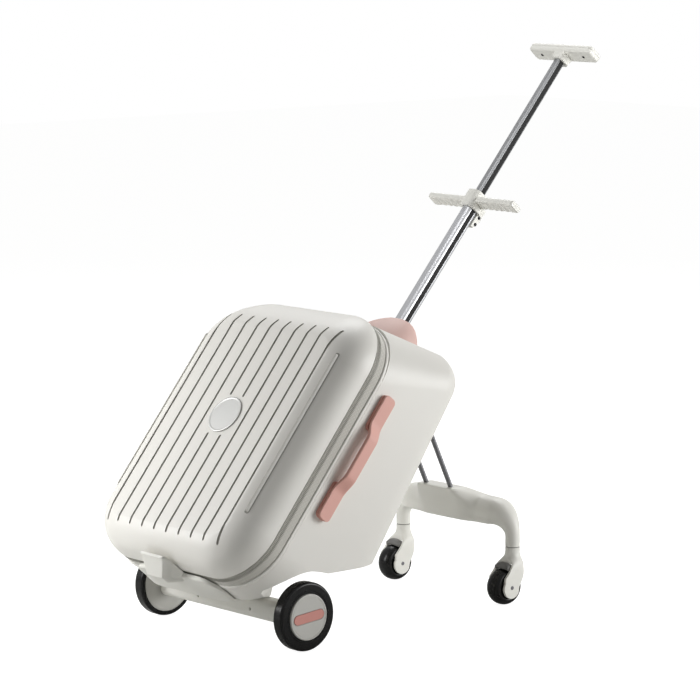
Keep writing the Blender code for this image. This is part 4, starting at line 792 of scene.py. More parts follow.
# Rear wheels: a white disc hub in nylon with a glossy black rubber tyre pressed over it.
# A flat pink pill is let into each disc, and its face is bare.
TYRE_OUTER_BORE = 0.0352
TYRE_INNER_BORE = 0.0452
TYRE_CORNER = 0.0042
TYRE_SEAT = 0.006
RUNNING = 0.00015
PILL_LENGTH = 0.0575
PILL_HEIGHT = 0.0146
PILL_PROUD = 0.0007
PILL_SUNK = 0.0016
PILL_MARGIN = 0.0010
PILL_TILT = radians(5.3)

# The eye sees clear pink on pill and pads, with the pads painted a darker pink as painted shade, a light
# grey disc beside the tyre, and dark grey steel.
pads_painted_shade = moulded("pink_polypropylene_painted_shade", "D3968A", "CD9084", 0.46, 0.6, 0.00003)
pink_insert = moulded("moulded_pink_insert", "CF8D83", "C8867C", 0.5, 0.6, 0.00004)
disc_nylon = moulded("moulded_white_nylon", "C2C1BC", "BDBCB6", 0.42, 0.8, 0.00003)
drawn_steel = brushed("dark_drawn_steel", "77777A", 0.34, 0.8, 0.05, 0.3)

# Moulded thermoplastic rubber: near black, semi-gloss, with a faint mould bloom and fine pores.
rubber, tree = blank_material("moulded_tyre_rubber")
bloom = noise(tree, 45.0, 4.0, 0.6)
links = {"Base Color": tinted(tree, bloom, "0C0C0C", "181818"),
         "Roughness": polished(tree, bloom, 0.20, 0.32)}
finished(rubber, tree, noise(tree, 1400.0, 2.0), 0.25, 0.00004, links, IOR=1.52, Specular_IOR_Level=0.2)


def turned(name, profile, steps, place):
    """A closed profile of (radius, y), turned round the Y axis."""
    return skin(name, [[(radius * c, y, radius * s) for radius, y in profile] for c, s in circle(steps)],
                place, ring=True)


def pill(name, side, sunk, grow, proud, place):
    """A flat stadium on the hub's face, tilted with the wheel."""
    radius = PILL_HEIGHT / 2 + grow
    reach = PILL_LENGTH / 2 + grow - radius
    outline = []
    for end in (1, -1):
        for step in range(19):
            angle = -pi / 2 + pi * step / 18
            x = end * (reach + radius * cos(angle))
            z = end * radius * sin(angle)
            outline.append((x * cos(PILL_TILT) - z * sin(PILL_TILT),
                            x * sin(PILL_TILT) + z * cos(PILL_TILT)))
    loops = [[(x, side * y, z) for x, z in outline] for y in (-sunk - 0.0002, proud - 0.0002)]
    return skin(name, loops, place)


outer = -TYRE_SETBACK
inner = outer - TYRE_WIDTH
tyre_profile = [(TYRE_OUTER_BORE + grow, outer - drop) for grow, drop in (
    (0, TYRE_SEAT), (0, 0.0006), (0.0006, 0), (0.0030, 0), (0.0036, 0.0005), (0.0042, 0))]
tyre_profile += [(WHEEL_RADIUS - TYRE_CORNER * (1 - s), outer - TYRE_CORNER * (1 - c))
                 for c, s in quarter_turn(6)]
tyre_profile += [(WHEEL_RADIUS - TYRE_CORNER * (1 - c), inner + TYRE_CORNER * (1 - s))
                 for c, s in quarter_turn(6)]
tyre_profile += [(TYRE_INNER_BORE, inner), (TYRE_INNER_BORE, outer - TYRE_SEAT)]
bore = AXLE_RADIUS + RUNNING
hub_radius = TYRE_OUTER_BORE - GAP
inner_radius = TYRE_INNER_BORE - GAP
step_y = outer - TYRE_SEAT - GAP
hub_profile = [(bore, -0.0045), (bore, inner - 0.0015), (0.012, inner - 0.0015), (0.014, inner + 0.0005),
               (inner_radius - 0.004, inner + 0.0005), (inner_radius, inner + 0.0015),
               (inner_radius, step_y)]
hub_profile += [(hub_radius - inset, -drop) for inset, drop in (
    (0, -step_y), (0, 0.0012), (0.0003, 0.0006), (0.0009, 0.0001), (0.0016, 0), (0.0026, 0),
    (0.0030, 0.0005), (0.0036, 0.0005), (0.0040, 0.0002))] + [(bore + 0.0012, -0.0002)]
for name, side in SIDES:
    axle = IN_WORLD @ Matrix.Translation((0, side * WHEEL_FACE, WHEEL_RADIUS))
    body = f"rear_wheel_{name}"
    tyre = turned(f"tyre_ring_{name}", [(radius, side * y) for radius, y in tyre_profile], 96, axle)
    placed(tyre, rubber, body, f"tyre_{name}")
    disc = turned(f"hub_disc_{name}", [(radius, side * y) for radius, y in hub_profile], 96, axle)
    cut(disc, pill("pill_recess", side, PILL_SUNK, PILL_MARGIN, 0.004, axle))
    placed(disc, disc_nylon, body, f"hub_{name}")
    accent = eased(pill(f"pill_{name}", side, PILL_SUNK - GAP, 0.0, PILL_PROUD, axle), 0.00035, 3, 50)
    placed(accent, pink_insert, body, f"hub_accent_{name}")
    pin = rod(f"axle_{name}", (0, side * (BEAM_END - 0.028), WHEEL_RADIUS),
              (0, side * (WHEEL_FACE - 0.0050), WHEEL_RADIUS), AXLE_RADIUS, IN_WORLD)
    placed(pin, drawn_steel, "case", f"axle_pin_{name}")

# Telescopic pole: two extruded and clear-anodised aluminium tubes that slide in a nylon sleeve.
# A black plastic strip lies in the track down each narrow side, and the thin upper tube is a darker grey.
SLEEVE_LENGTH = 0.365
SLEEVE_RISE = 0.010
LOWER_TAIL = 0.110
UPPER_DEPTH = 0.0170
UPPER_WIDTH = 0.0130
UPPER_TAIL = 0.065
TUBE_WALL = 0.0016
TUBE_ROUNDNESS = 0.42
TRACK_WIDTH = 0.0046
TRACK_DEPTH = 0.0010
STRIP_PROUD = 0.0003
STRIP_PLAY = 0.0003
STRIP_LIFT = 0.00005
STRIP_SHARE_LOWER = 0.19
STRIP_SHARE_UPPER = 0.30
STRIP_SHORT = 0.0004
HANDLEBAR_RISE = 0.2885
T_HANDLE_RISE = 0.5940
CLAMP_HEIGHT = 0.030
T_THICKNESS = 0.014
T_SPLIT = 0.008

# The eye sees two satin greys of metal, the lower one lighter, with a matt black line down each.
anodised = brushed("anodised_aluminium", "C4C5C8", 0.42, 0.6, 0.02, 0.05)
dark_anodised = brushed("dark_anodised_aluminium", "98999B", 0.46, 0.6, 0.02, 0.05)
grey_nylon = moulded("moulded_grey_nylon", "6E6D6A", "636260", 0.5, 0.5, 0.00004)
black_strip = moulded("black_guide_strip", "070708", "050506", 0.80, 0.4, 0.00002)


def tracked_tube(name, node, body, metal, depth, width, start, end, strip_share):
    """A tube with a track down each narrow side, and the strips that lie in the tracks."""
    corner = min(depth, width) * TUBE_ROUNDNESS
    points = rounded_section(depth, width, corner, 8)
    half = TRACK_WIDTH / 2
    edge = width / 2
    floor = edge - TRACK_DEPTH
    near = [(-half, -edge), (-half, -floor), (half, -floor), (half, -edge)]
    far = [(-x, -y) for x, y in near]
    quarter = len(points) // 4
    tube = drawn_out(name, points[:quarter] + far + points[quarter : 3 * quarter] + near
                     + points[3 * quarter :], start, end)
    wall = 2 * (TUBE_WALL + TRACK_DEPTH)
    inside = rounded_section(depth - wall, width - wall, (width - wall) * TUBE_ROUNDNESS)
    cut(tube, drawn_out("tube_bore", inside, start - 0.01, end + 0.01))
    placed(tube, metal, body, node)
    reach = depth * strip_share
    grown = rounded_section(depth + 2 * STRIP_PROUD, width + 2 * STRIP_PROUD, corner + STRIP_PROUD, 8)
    strip = sorted((x, y) for x, y in grown if y > 0 and abs(x) <= reach)
    under = sorted(((x, y + STRIP_LIFT) for x, y in points if y > 0 and half < abs(x) <= reach),
                   reverse=True)
    foot = half - STRIP_PLAY
    strip += [point for point in under if point[0] > 0]
    strip += [(foot, edge), (foot, floor + STRIP_LIFT), (-foot, floor + STRIP_LIFT), (-foot, edge)]
    strip += [point for point in under if point[0] < 0]
    for label, side in SIDES:
        placed(drawn_out(f"{name}_strip_{label}", [(x, side * y) for x, y in strip],
                         start + STRIP_SHORT, end - STRIP_SHORT), black_strip, body)


sleeve = pole_bar("guide_sleeve", -SLEEVE_LENGTH, SLEEVE_RISE, SLEEVE_WALL + SLIDING)
cut(sleeve, pole_bar("sleeve_bore", -SLEEVE_LENGTH - 0.01, SLEEVE_RISE + 0.01, SLIDING))
placed(eased(sleeve, 0.0006, 2, 50), grey_nylon, "case", "pole_sleeve")
tracked_tube("pole_tube_lower", "pole_lower", "pole_lower_stage", anodised, LOWER_DEPTH, LOWER_WIDTH,
             -LOWER_TAIL, HANDLEBAR_RISE + CLAMP_HEIGHT / 2, STRIP_SHARE_LOWER)
tracked_tube("pole_tube_upper", "pole_upper", "pole_upper_stage", dark_anodised, UPPER_DEPTH, UPPER_WIDTH,
             HANDLEBAR_RISE - UPPER_TAIL, T_HANDLE_RISE - T_THICKNESS / 2 + T_SPLIT * 0.5, STRIP_SHARE_UPPER)

# Handlebar: a clamp round the lower tube with a grip bar moulded to each side of it.
# Two black pan-head screws pull its lug tight, and finger notches run under the bars' ends.
BAR_LENGTH = 0.192
BAR_DEPTH = 0.024
BAR_THICKNESS = 0.0105
BAR_STEPS = 96
TIP_LENGTH = 0.003
TIP_SHRINK = 0.22
RIDGE_COUNT = 5
RIDGE_PITCH = 0.0125
RIDGE_DEPTH = 0.0012
RIDGE_MARGIN = 0.012
CLAMP_WALL = 0.0045
LUG_LENGTH = 0.036
LUG_DEPTH = 0.012
LUG_WIDTH = 0.016
CLAMP_SCREW_DROPS = (0.0165, 0.0295)
CLAMP_SCREW_RADIUS = 0.0028

# The eye sees small dark grey discs of blackened steel.
black_screw = brushed("black_oxide_screw", "3A3A3B", 0.38, 0.3, 1.0, 0.1)


def screw_head(name, centre, outward, radius, body):
    """A pan-head screw with a cross recess."""
    centre = Vector(centre)
    turn = Vector(outward).to_track_quat("Z", "Y")
    loops = [[centre + turn @ Vector((radius * share * c, radius * share * s, rise)) for c, s in circle(24)]
             for share, rise in ((1.0, -0.0006), (1.0, 0.0002), (0.93, 0.0005), (0.75, 0.0008),
                                 (0.45, 0.0010))]
    head = skin(name, loops, IN_POLE)
    for angle in (0.0, pi / 2):
        spin = turn @ Matrix.Rotation(angle, 3, "Z").to_quaternion()
        bar = [(-0.6, -0.16), (0.6, -0.16), (0.6, 0.16), (-0.6, 0.16)]
        slot = [[centre + spin @ Vector((x * radius, y * radius, z)) for x, y in bar]
                for z in (0.0002, 0.003)]
        cut(head, skin("screw_slot", slot, IN_POLE))
    placed(head, black_screw, body)


clamp = pole_bar("handlebar_collar", HANDLEBAR_RISE - CLAMP_HEIGHT / 2, HANDLEBAR_RISE + CLAMP_HEIGHT / 2,
                 CLAMP_WALL)
lug_root = LOWER_DEPTH / 2 + SLIDING
lug_middle = LOWER_DEPTH / 2 + LUG_DEPTH * 0.55
lug_face = LOWER_DEPTH / 2 + LUG_DEPTH
lug_low = HANDLEBAR_RISE - LUG_LENGTH
lug_outline = [(lug_root, HANDLEBAR_RISE), (lug_root, lug_low), (lug_middle, lug_low),
               (lug_face, HANDLEBAR_RISE - LUG_LENGTH * 0.55), (lug_face, HANDLEBAR_RISE)]
cut(clamp, slab("clamp_lug", lug_outline, LUG_WIDTH / 2, IN_POLE), "UNION")
cut(clamp, pole_bar("clamp_bore", HANDLEBAR_RISE - 0.08, HANDLEBAR_RISE + 0.08, GAP))
placed(eased(clamp, 0.0009, 2, 40), warm_abs, "pole_lower_stage", "handlebar_clamp")
for number, drop in enumerate(CLAMP_SCREW_DROPS):
    screw_head(f"clamp_screw_{number}", (lug_middle, -LUG_WIDTH / 2 - 0.0003, HANDLEBAR_RISE - drop),
               (0, -1, 0), CLAMP_SCREW_RADIUS, "pole_lower_stage")
start = LOWER_WIDTH / 2 + CLAMP_WALL + GAP
end = BAR_LENGTH / 2
ridge_end = end - RIDGE_MARGIN
ridge_start = ridge_end - RIDGE_COUNT * RIDGE_PITCH
bar_loops = []
for step in range(BAR_STEPS + 1):
    y = start + (end - start) * step / BAR_STEPS
    tip = max(0.0, (y - (end - TIP_LENGTH)) / TIP_LENGTH)
    shrink = sqrt(max(0.0, 1 - tip**2)) * TIP_SHRINK + 1 - TIP_SHRINK
    notch = 0.0
    if ridge_start < y < ridge_end:
        notch = RIDGE_DEPTH * (1 - cos(2 * pi * (y - ridge_start) / RIDGE_PITCH)) / 2
    half_height = BAR_THICKNESS / 2 * shrink
    bar_loops.append([(x, y, HANDLEBAR_RISE + z + notch * min(max(0.5 - z / half_height, 0.0), 1.0))
                      for x, z in rounded_section(BAR_DEPTH * shrink, 2 * half_height, half_height * 0.75)])
for name, side in SIDES:
    loops = [[(x, side * y, z) for x, y, z in loop] for loop in bar_loops]
    placed(skin(f"grip_bar_{name}", loops, IN_POLE), warm_abs, "pole_lower_stage", f"handlebar_{name}",
           smooth_under=50)

# T-handle: two moulded halves screwed together round the upper tube, with a grey release button in the top.
# Its long edges are rounded for the hand, and a short flared neck holds it to the tube.
T_LENGTH = 0.138
T_DEPTH = 0.030
T_CORNER = 0.006
T_EDGE = 0.0035
T_SEAM = 0.0004
NECK_LENGTH = 0.012
HANDLE_SCREW_Y = 0.047
HANDLE_SCREW_RADIUS = 0.0026
BUTTON_LENGTH = 0.044
BUTTON_DEPTH = 0.015
BUTTON_HEIGHT = 0.0075
BUTTON_SUNK = 0.0030
BUTTON_ROUNDNESS = 0.45

handle_outline = rounded_section(T_DEPTH, T_LENGTH, T_CORNER, 12)
handle_base = T_HANDLE_RISE - T_THICKNESS / 2
handle_split = handle_base + T_SPLIT
handle_top = handle_base + T_THICKNESS


def handle_half(name, levels):
    """The handle's outline at some levels, drawn in by an inset at each."""
    loops = [[(x * (1 - 2 * inset / T_DEPTH), y * (1 - 2 * inset / T_LENGTH), z) for x, y in handle_outline]
             for inset, z in levels]
    return skin(name, loops, IN_POLE)


def round_over(low, high):
    """Levels of a rounded edge, from a height to the height where the face is flat."""
    return [(T_EDGE * (1 - c), low + (high - low) * s) for c, s in quarter_turn(6)]


lower_half = handle_half("t_handle_shell_lower", round_over(handle_base + T_EDGE, handle_base)[::-1]
                         + [(0.0, handle_split - T_SEAM), (T_SEAM, handle_split)])
neck_depth = UPPER_DEPTH + 2 * CLAMP_WALL
neck_width = UPPER_WIDTH + 2 * CLAMP_WALL
neck_loops = []
for grow, rise in ((0.0, -NECK_LENGTH), (0.0004, -NECK_LENGTH * 0.7), (0.001, -NECK_LENGTH * 0.4),
                   (0.0026, -NECK_LENGTH * 0.1), (0.005, 0.003)):
    neck = rounded_section(neck_depth + grow, neck_width + grow, neck_width * 0.3)
    neck_loops.append([(x, y, handle_base + rise) for x, y in neck])
cut(lower_half, skin("t_neck", neck_loops, IN_POLE), "UNION")
cut(lower_half, pole_bar("t_socket", handle_base - NECK_LENGTH - 0.01, handle_base + T_SPLIT * 0.55, GAP,
                         UPPER_DEPTH, UPPER_WIDTH))
placed(lower_half, warm_abs, "pole_upper_stage", "t_handle_lower", smooth_under=40)
upper_half = handle_half("t_handle_shell_upper",
                         [(T_SEAM, handle_split + GAP), (0.0, handle_split + GAP + T_SEAM)]
                         + round_over(handle_top - T_EDGE, handle_top))
well = rounded_section(BUTTON_DEPTH + 2 * SLIDING, BUTTON_LENGTH + 2 * SLIDING,
                       BUTTON_DEPTH * BUTTON_ROUNDNESS, 8)
cut(upper_half, drawn_out("button_well", well, handle_split - 0.01, handle_top + 0.01))
placed(upper_half, warm_abs, "pole_upper_stage", "t_handle_upper", smooth_under=40)
for number, y in enumerate((-HANDLE_SCREW_Y, HANDLE_SCREW_Y)):
    screw_head(f"handle_screw_{number}", (0.0, y, handle_base + 0.0001), (0, 0, -1),
               HANDLE_SCREW_RADIUS, "pole_upper_stage")
button_outline = rounded_section(BUTTON_DEPTH, BUTTON_LENGTH, BUTTON_DEPTH * BUTTON_ROUNDNESS, 10)
button_floor = handle_split + GAP + BUTTON_SUNK
button_peak = button_floor + BUTTON_HEIGHT - BUTTON_SUNK
button_loops = [[(x * scale, y * scale, z) for x, y in button_outline] for scale, z in (
    (1.0, button_floor), (1.0, button_peak - 0.0012), (0.985, button_peak - 0.0006),
    (0.95, button_peak - 0.0002), (0.90, button_peak), (0.5, button_peak + 0.0003))]
placed(skin("release_key", button_loops, IN_POLE), grey_nylon, "button", "release_button", smooth_under=50)

# Saddle: an integral-skin polyurethane foam seat in pale pink, bonded to a grey pan on the case's top end.
# Its skin is soft, fine-grained and quite matt, and it is level with the ground in the riding position.
SADDLE_RISE = 0.0785
SADDLE_CROWN = 0.010
SADDLE_HALF_LENGTH = 0.0530
SADDLE_HALF_WIDTH = 0.066
SADDLE_MIDDLE = 0.0070
SADDLE_SQUARENESS = 2.3
SADDLE_OVER_PIVOT = 0.0145
SADDLE_SKIRT = 0.2
NOSE_RISE = 0.0880
NOSE_FALL = 0.10
NOSE_BLEND = 0.012
PAN_THICKNESS = 0.006
LEG_PIVOT_HEIGHT = 0.443
SEAT_MARGIN = 0.02
BED_STEPS = 18

# The eye sees a pale, soft pink with next to no shine.
foam_skin = moulded("integral_skin_foam", "DFBFB7", "DAB7AE", 0.62, 1.1, 0.00006)


def superellipse(squareness, count):
    """A circle drawn out towards the corners of its square, as points from -1 to 1."""
    return [[copysign(abs(value) ** (2 / squareness), value) for value in point] for point in circle(count)]


def saddle_top(depth):
    """Height of the seat's crest: level with the ground, then falling parallel to the case's top end."""
    level = CASE_TOP + SADDLE_RISE + depth * tan(CASE_LEAN)
    nose = CASE_TOP + NOSE_RISE - NOSE_FALL * max(depth, 0.0)
    near = max(NOSE_BLEND - abs(level - nose), 0.0) / NOSE_BLEND
    return min(level, nose) - near * near * NOSE_BLEND / 4


saddle_rows = ((0.98, -0.30), (0.985, -0.1), (0.99, 0.0), (0.997, 0.05), (1.0, 0.10), (0.994, 0.18),
               (0.98, 0.27), (0.958, 0.36), (0.93, 0.44), (0.895, 0.525), (0.855, 0.60), (0.805, 0.68),
               (0.75, 0.75), (0.68, 0.82), (0.60, 0.88), (0.50, 0.93), (0.38, 0.965), (0.25, 0.987),
               (0.13, 1.0))
saddle_loops = []
for scale, share in saddle_rows:
    loop = []
    for along, across in superellipse(SADDLE_SQUARENESS, 96):
        depth = SADDLE_MIDDLE + SADDLE_HALF_LENGTH * scale * along
        crest = saddle_top(depth) - SADDLE_CROWN * (scale * across) ** 2 - CASE_TOP
        height = CASE_TOP + crest * max(share, 0.0) + SADDLE_SKIRT * min(share, 0.0)
        loop.append((depth, SADDLE_HALF_WIDTH * scale * across, height))
    saddle_loops.append(loop)
seat = skin("saddle_foam", saddle_loops, IN_CASE)

# The bed follows the ridge of the back shell's top end, over the pan, and clears the leg's pivot.
ridge = [back_loop(*station)[CORNER_STEPS] for station in back_stations(0.0)]
seat_reach = SADDLE_HALF_LENGTH + SEAT_MARGIN
bed = []
for step in range(BED_STEPS + 1):
    depth = SADDLE_MIDDLE + seat_reach * (2 * step / BED_STEPS - 1)
    height = ridge[-1][2]
    for (x0, _, z0), (x1, _, z1) in zip(ridge, ridge[1:]):
        if depth <= x1:
            height = z0 + (z1 - z0) * (depth - x0) / (x1 - x0)
            break
    bed.append((depth, max(height + 4 * GAP + PAN_THICKNESS, LEG_PIVOT_HEIGHT + SADDLE_OVER_PIVOT)))
bed = [(bed[0][0], -0.1)] + bed + [(bed[-1][0], -0.1)]
cut(seat, slab("saddle_bed", bed, SADDLE_HALF_WIDTH + SEAT_MARGIN, IN_CASE))
cut(seat, pole_bar("saddle_hole", -0.06, 0.12, SLEEVE_WALL + SLIDING + GAP))
placed(eased(seat, 0.0012, 3, 45), foam_skin, "case", "saddle", smooth_under=55)

# Side handle: a strap handle that arches between two low pink polypropylene pads riveted to the case's side.
# Its strap is painted a paler pink than the pads, as painted light where light falls on it, and the pads a
# darker pink as painted shade.
HANDLE_DEPTH = -0.078
HANDLE_LOW = 0.125
HANDLE_HIGH = 0.340
HANDLE_WIDTH = 0.024
PAD_LENGTH = 0.061
PAD_HEIGHT = 0.0050
PAD_CORNER = 0.0070
GRIP_CLEARANCE = 0.0130
GRIP_THICKNESS = 0.0070
GRIP_END_THICKNESS = 0.0042
GRIP_RAMP = 0.030
GRIP_WAIST = 0.12
GRIP_STEPS = 110

# The eye sees a strap painted a shade paler than its pads, as painted light, with a dull sheen along its
# crest.
strap_painted_light = moulded("pink_strap_painted_light", "E5AFA3", "E0A99D", 0.55, 0.8, 0.00004)
handle_face = -(CASE_HALF_WIDTH + GAP)
handle_middle = (HANDLE_LOW + HANDLE_HIGH) / 2
handle_reach = (HANDLE_HIGH - HANDLE_LOW) / 2
# The pads take the pink that is painted darker as shade.
for name, end in (("lower", -1), ("upper", 1)):
    centre = handle_middle + end * (handle_reach - PAD_LENGTH / 2)
    pad_loops = []
    for inset, rise in ((0.0, 0.0), (0.0, PAD_HEIGHT * 0.78), (0.0003, PAD_HEIGHT * 0.93),
                        (0.0010, PAD_HEIGHT)):
        pad = rounded_section(HANDLE_WIDTH - 2 * inset, PAD_LENGTH - 2 * inset, PAD_CORNER - inset, 10)
        pad_loops.append([(HANDLE_DEPTH + x, handle_face - rise, centre + z) for x, z in pad])
    placed(skin(f"handle_foot_{name}", pad_loops, IN_CASE), pads_painted_shade, "case", f"handle_pad_{name}",
           smooth_under=40)
grip_loops = []
for step in range(GRIP_STEPS + 1):
    along = -handle_reach * cos(pi * step / GRIP_STEPS)
    over_pad = (abs(along) - (handle_reach - PAD_LENGTH) + GRIP_RAMP / 2) / GRIP_RAMP
    lift = 1 - min(max(over_pad, 0.0), 1.0)
    lift = lift * lift * (3 - 2 * lift)
    end = min((handle_reach - abs(along)) / PAD_CORNER, 1.0)
    width = (HANDLE_WIDTH - 2 * PAD_CORNER * (1 - sqrt(1 - (1 - end) ** 2))) * (1 - GRIP_WAIST * lift)
    inner = PAD_HEIGHT + GAP + (GRIP_CLEARANCE - PAD_HEIGHT - GAP) * lift
    thick = GRIP_END_THICKNESS + (GRIP_THICKNESS - GRIP_END_THICKNESS) * lift
    grip_loops.append([(HANDLE_DEPTH + x, handle_face - inner - thick / 2 - rise, handle_middle + along)
                       for x, rise in rounded_section(width, thick, thick * 0.4, 5)])
placed(skin("handle_strap", grip_loops, IN_CASE), strap_painted_light, "case", "handle_grip", smooth_under=50)

# Leg mount: a moulded clevis bolted high on the back of the case, with the steel pin that the leg folds on.
# Its two ears stand out from a thin plate, and the leg's crosshead turns between them.
LEG_PIVOT_DEPTH = 0.085
PIN_RADIUS = 0.004
PIN_PROUD = 0.002
CROSSHEAD_RADIUS = 0.0120
CROSSHEAD_HALF = 0.0400
EAR_THICKNESS = 0.009
EAR_WALL = 0.0065
MOUNT_LOW = 0.350
MOUNT_HIGH = 0.406
MOUNT_PLATE = 0.007

ear_edge = CROSSHEAD_HALF + GAP
mount_half = ear_edge + EAR_THICKNESS
plate_low, plate_high = (BACK_FACE - BACK_DRAFT * (height - BACK_DRAFT_LEVEL) + GAP
                         for height in (MOUNT_LOW, MOUNT_HIGH))
mount_outline = [(plate_low, MOUNT_LOW), (plate_high, MOUNT_HIGH)]
eye = PIN_RADIUS + EAR_WALL
for step in range(25):
    angle = radians(150 - 200 * step / 24)
    mount_outline.append((LEG_PIVOT_DEPTH + eye * cos(angle), LEG_PIVOT_HEIGHT + eye * sin(angle)))
mount_outline.append((plate_low + MOUNT_PLATE + 0.004, MOUNT_LOW + 0.012))
mount_outline.append((plate_low + MOUNT_PLATE, MOUNT_LOW))
mount_slot = [
    (plate_low + MOUNT_PLATE, MOUNT_LOW - 0.01),
    (plate_high + MOUNT_PLATE, MOUNT_HIGH - 0.004),
    (plate_high + MOUNT_PLATE - 0.012, MOUNT_HIGH + 0.001),
    (plate_high - 0.04, MOUNT_HIGH + 0.02),
    (plate_high - 0.04, LEG_PIVOT_HEIGHT + 0.05),
    (LEG_PIVOT_DEPTH + 0.05, LEG_PIVOT_HEIGHT + 0.05),
    (LEG_PIVOT_DEPTH + 0.05, MOUNT_LOW - 0.01),
]


def cross_rod(name, half, radius):
    """A rod along the leg's pivot."""
    return rod(name, (LEG_PIVOT_DEPTH, -half, LEG_PIVOT_HEIGHT), (LEG_PIVOT_DEPTH, half, LEG_PIVOT_HEIGHT),
               radius, IN_CASE)


mount = slab("leg_clevis", mount_outline, mount_half, IN_CASE)
cut(mount, slab("mount_slot", mount_slot, ear_edge, IN_CASE))
cut(mount, cross_rod("mount_bore", mount_half + 0.01, PIN_RADIUS + GAP))
placed(eased(mount, 0.0008, 2, 45), warm_abs, "case", "leg_mount")
placed(eased(cross_rod("leg_hinge_pin", mount_half + PIN_PROUD, PIN_RADIUS), 0.0005, 2, 50), drawn_steel,
       "case", "leg_pin")

# Leg: two drawn steel rods from a nylon crosshead down to the arched bracket.
# They start at the crosshead's barrel and end in two sockets in the bracket's hub.
STRUT_RADIUS = 0.0038
STRUT_OFFSET = 0.0285
STRUT_SOCKET = 0.022
HUB_X = 0.4250
HUB_TOP = 0.1765

pivot_x = LEG_PIVOT_DEPTH * cos(CASE_LEAN) + LEG_PIVOT_HEIGHT * sin(CASE_LEAN)
pivot_z = WHEEL_RADIUS - LEG_PIVOT_DEPTH * sin(CASE_LEAN) + LEG_PIVOT_HEIGHT * cos(CASE_LEAN)
leg_pivot = Vector((pivot_x, 0.0, pivot_z))
strut_entry = Vector((HUB_X, 0.0, HUB_TOP))
strut_axis = (strut_entry - leg_pivot).normalized()


def strut_ends(side):
    offset = Vector((0.0, side * STRUT_OFFSET, 0.0))
    return (leg_pivot + strut_axis * (CROSSHEAD_RADIUS + GAP) + offset,
            strut_entry + strut_axis * STRUT_SOCKET + offset)


for name, side in SIDES:
    placed(rod(f"strut_rod_{name}", *strut_ends(side), STRUT_RADIUS, IN_WORLD), drawn_steel, "leg",
           f"strut_{name}")
bore = PIN_RADIUS + RUNNING
barrel = [(bore, -CROSSHEAD_HALF), (CROSSHEAD_RADIUS, -CROSSHEAD_HALF), (CROSSHEAD_RADIUS, CROSSHEAD_HALF),
          (bore, CROSSHEAD_HALF)]
crosshead = turned("crosshead_barrel", barrel, 64, IN_WORLD @ Matrix.Translation(leg_pivot))
placed(eased(crosshead, 0.0008, 3, 50), grey_nylon, "leg", "leg_crosshead")

# Footrest bracket: one glass-filled nylon moulding, a tall hub between two arms that turn down into stems.
# The arms are broad and nearly flat on top, where the child's feet rest, and the stems are round.
CASTER_X = 0.466
CASTER_Y = 0.128
STEM_RADIUS = 0.0115
STEM_END = 0.0905
STEM_EDGE = 0.0006
STEM_CENTRE = 0.020
KINGPIN_RADIUS = 0.005
KINGPIN_RISE = 0.020
KINGPIN_REACH = 0.022
STEM_TIP = 0.96
BRACKET_FLOOR = 0.120
HUB_REACH = 0.036
ARM_START = 0.070
ELBOW_SINK = 0.014
ELBOW_SHARE = 0.12
SECTION_POINTS = 64


def closed_curve(points):
    """Catmull-Rom curve through a closed list of points, read at equal parameters."""
    total = len(points)
    found = []
    for step in range(SECTION_POINTS):
        place = total * step / SECTION_POINTS
        index = int(place)
        t = place - index
        a, b, c, d = (Vector(points[(index + shift) % total]) for shift in (-1, 0, 1, 2))
        found.append(0.5 * (2 * b + (c - a) * t + (2 * a - 5 * b + 4 * c - d) * t**2
                            + (3 * b - a - 3 * c + d) * t**3))
    return found


def mixed(first, second, share):
    """The section between two others, as a closed curve."""
    blend = share * share * (3 - 2 * share)
    return closed_curve([(a[0] + (b[0] - a[0]) * blend, a[1] + (b[1] - a[1]) * blend)
                         for a, b in zip(first, second)])


elbow = CASTER_Y - STEM_CENTRE - ELBOW_SINK
crest = HUB_TOP - BRACKET_FLOOR
hub_section = [(0.436, 0.004), (0.428, 0.022), (0.422, 0.040), (0.4155, crest - 0.004), (0.4180, crest),
               (0.433, crest + 0.0002), (0.4485, crest - 0.001), (0.4550, 0.046), (0.470, 0.030),
               (0.484, 0.016), (0.486, 0.006), (0.465, 0.003)]
arm_section = [(0.442, 0.004), (0.4405, 0.014), (0.4395, 0.024), (0.444, 0.033), (0.452, 0.041),
               (0.463, 0.0435), (0.475, 0.0425), (0.485, 0.037), (0.490, 0.027), (0.490, 0.015),
               (0.486, 0.006), (0.465, 0.003)]
stem_section = []
for number in range(12):
    angle = radians(-45 + 30 * number)
    stem_section.append((CASTER_X - STEM_RADIUS * cos(angle), STEM_CENTRE + STEM_RADIUS * sin(angle)))
half_loops = []
for y, share in [(0.0, 0.0), (0.012, 0.0), (0.024, 0.0), (0.034, 0.0)] + [
        (HUB_REACH + (ARM_START - HUB_REACH) * step / 12, step / 12) for step in range(13)]:
    half_loops.append([(x, y, BRACKET_FLOOR + h) for x, h in mixed(hub_section, arm_section, share)])
for step in range(1, 6):
    y = ARM_START + (elbow - ARM_START) * step / 5
    section = mixed(arm_section, stem_section, ELBOW_SHARE * step / 5)
    half_loops.append([(x, y, BRACKET_FLOOR + h) for x, h in section])
for step, (c, s) in enumerate(quarter_turn(20, 1), 1):
    section = mixed(arm_section, stem_section, ELBOW_SHARE + (1 - ELBOW_SHARE) * step / 20)
    half_loops.append([(x, elbow + (h + ELBOW_SINK) * s, BRACKET_FLOOR - ELBOW_SINK + (h + ELBOW_SINK) * c)
                       for x, h in section])
section = closed_curve(stem_section)
half_loops.append([(x, elbow + h + ELBOW_SINK, STEM_END + STEM_EDGE) for x, h in section])
half_loops.append([(CASTER_X + (x - CASTER_X) * STEM_TIP, CASTER_Y + (h - STEM_CENTRE) * STEM_TIP, STEM_END)
                   for x, h in section])
other_loops = [[(x, -y, z) for x, y, z in loop] for loop in reversed(half_loops[1:])]
bracket = skin("footrest_bracket", other_loops + half_loops, IN_WORLD)
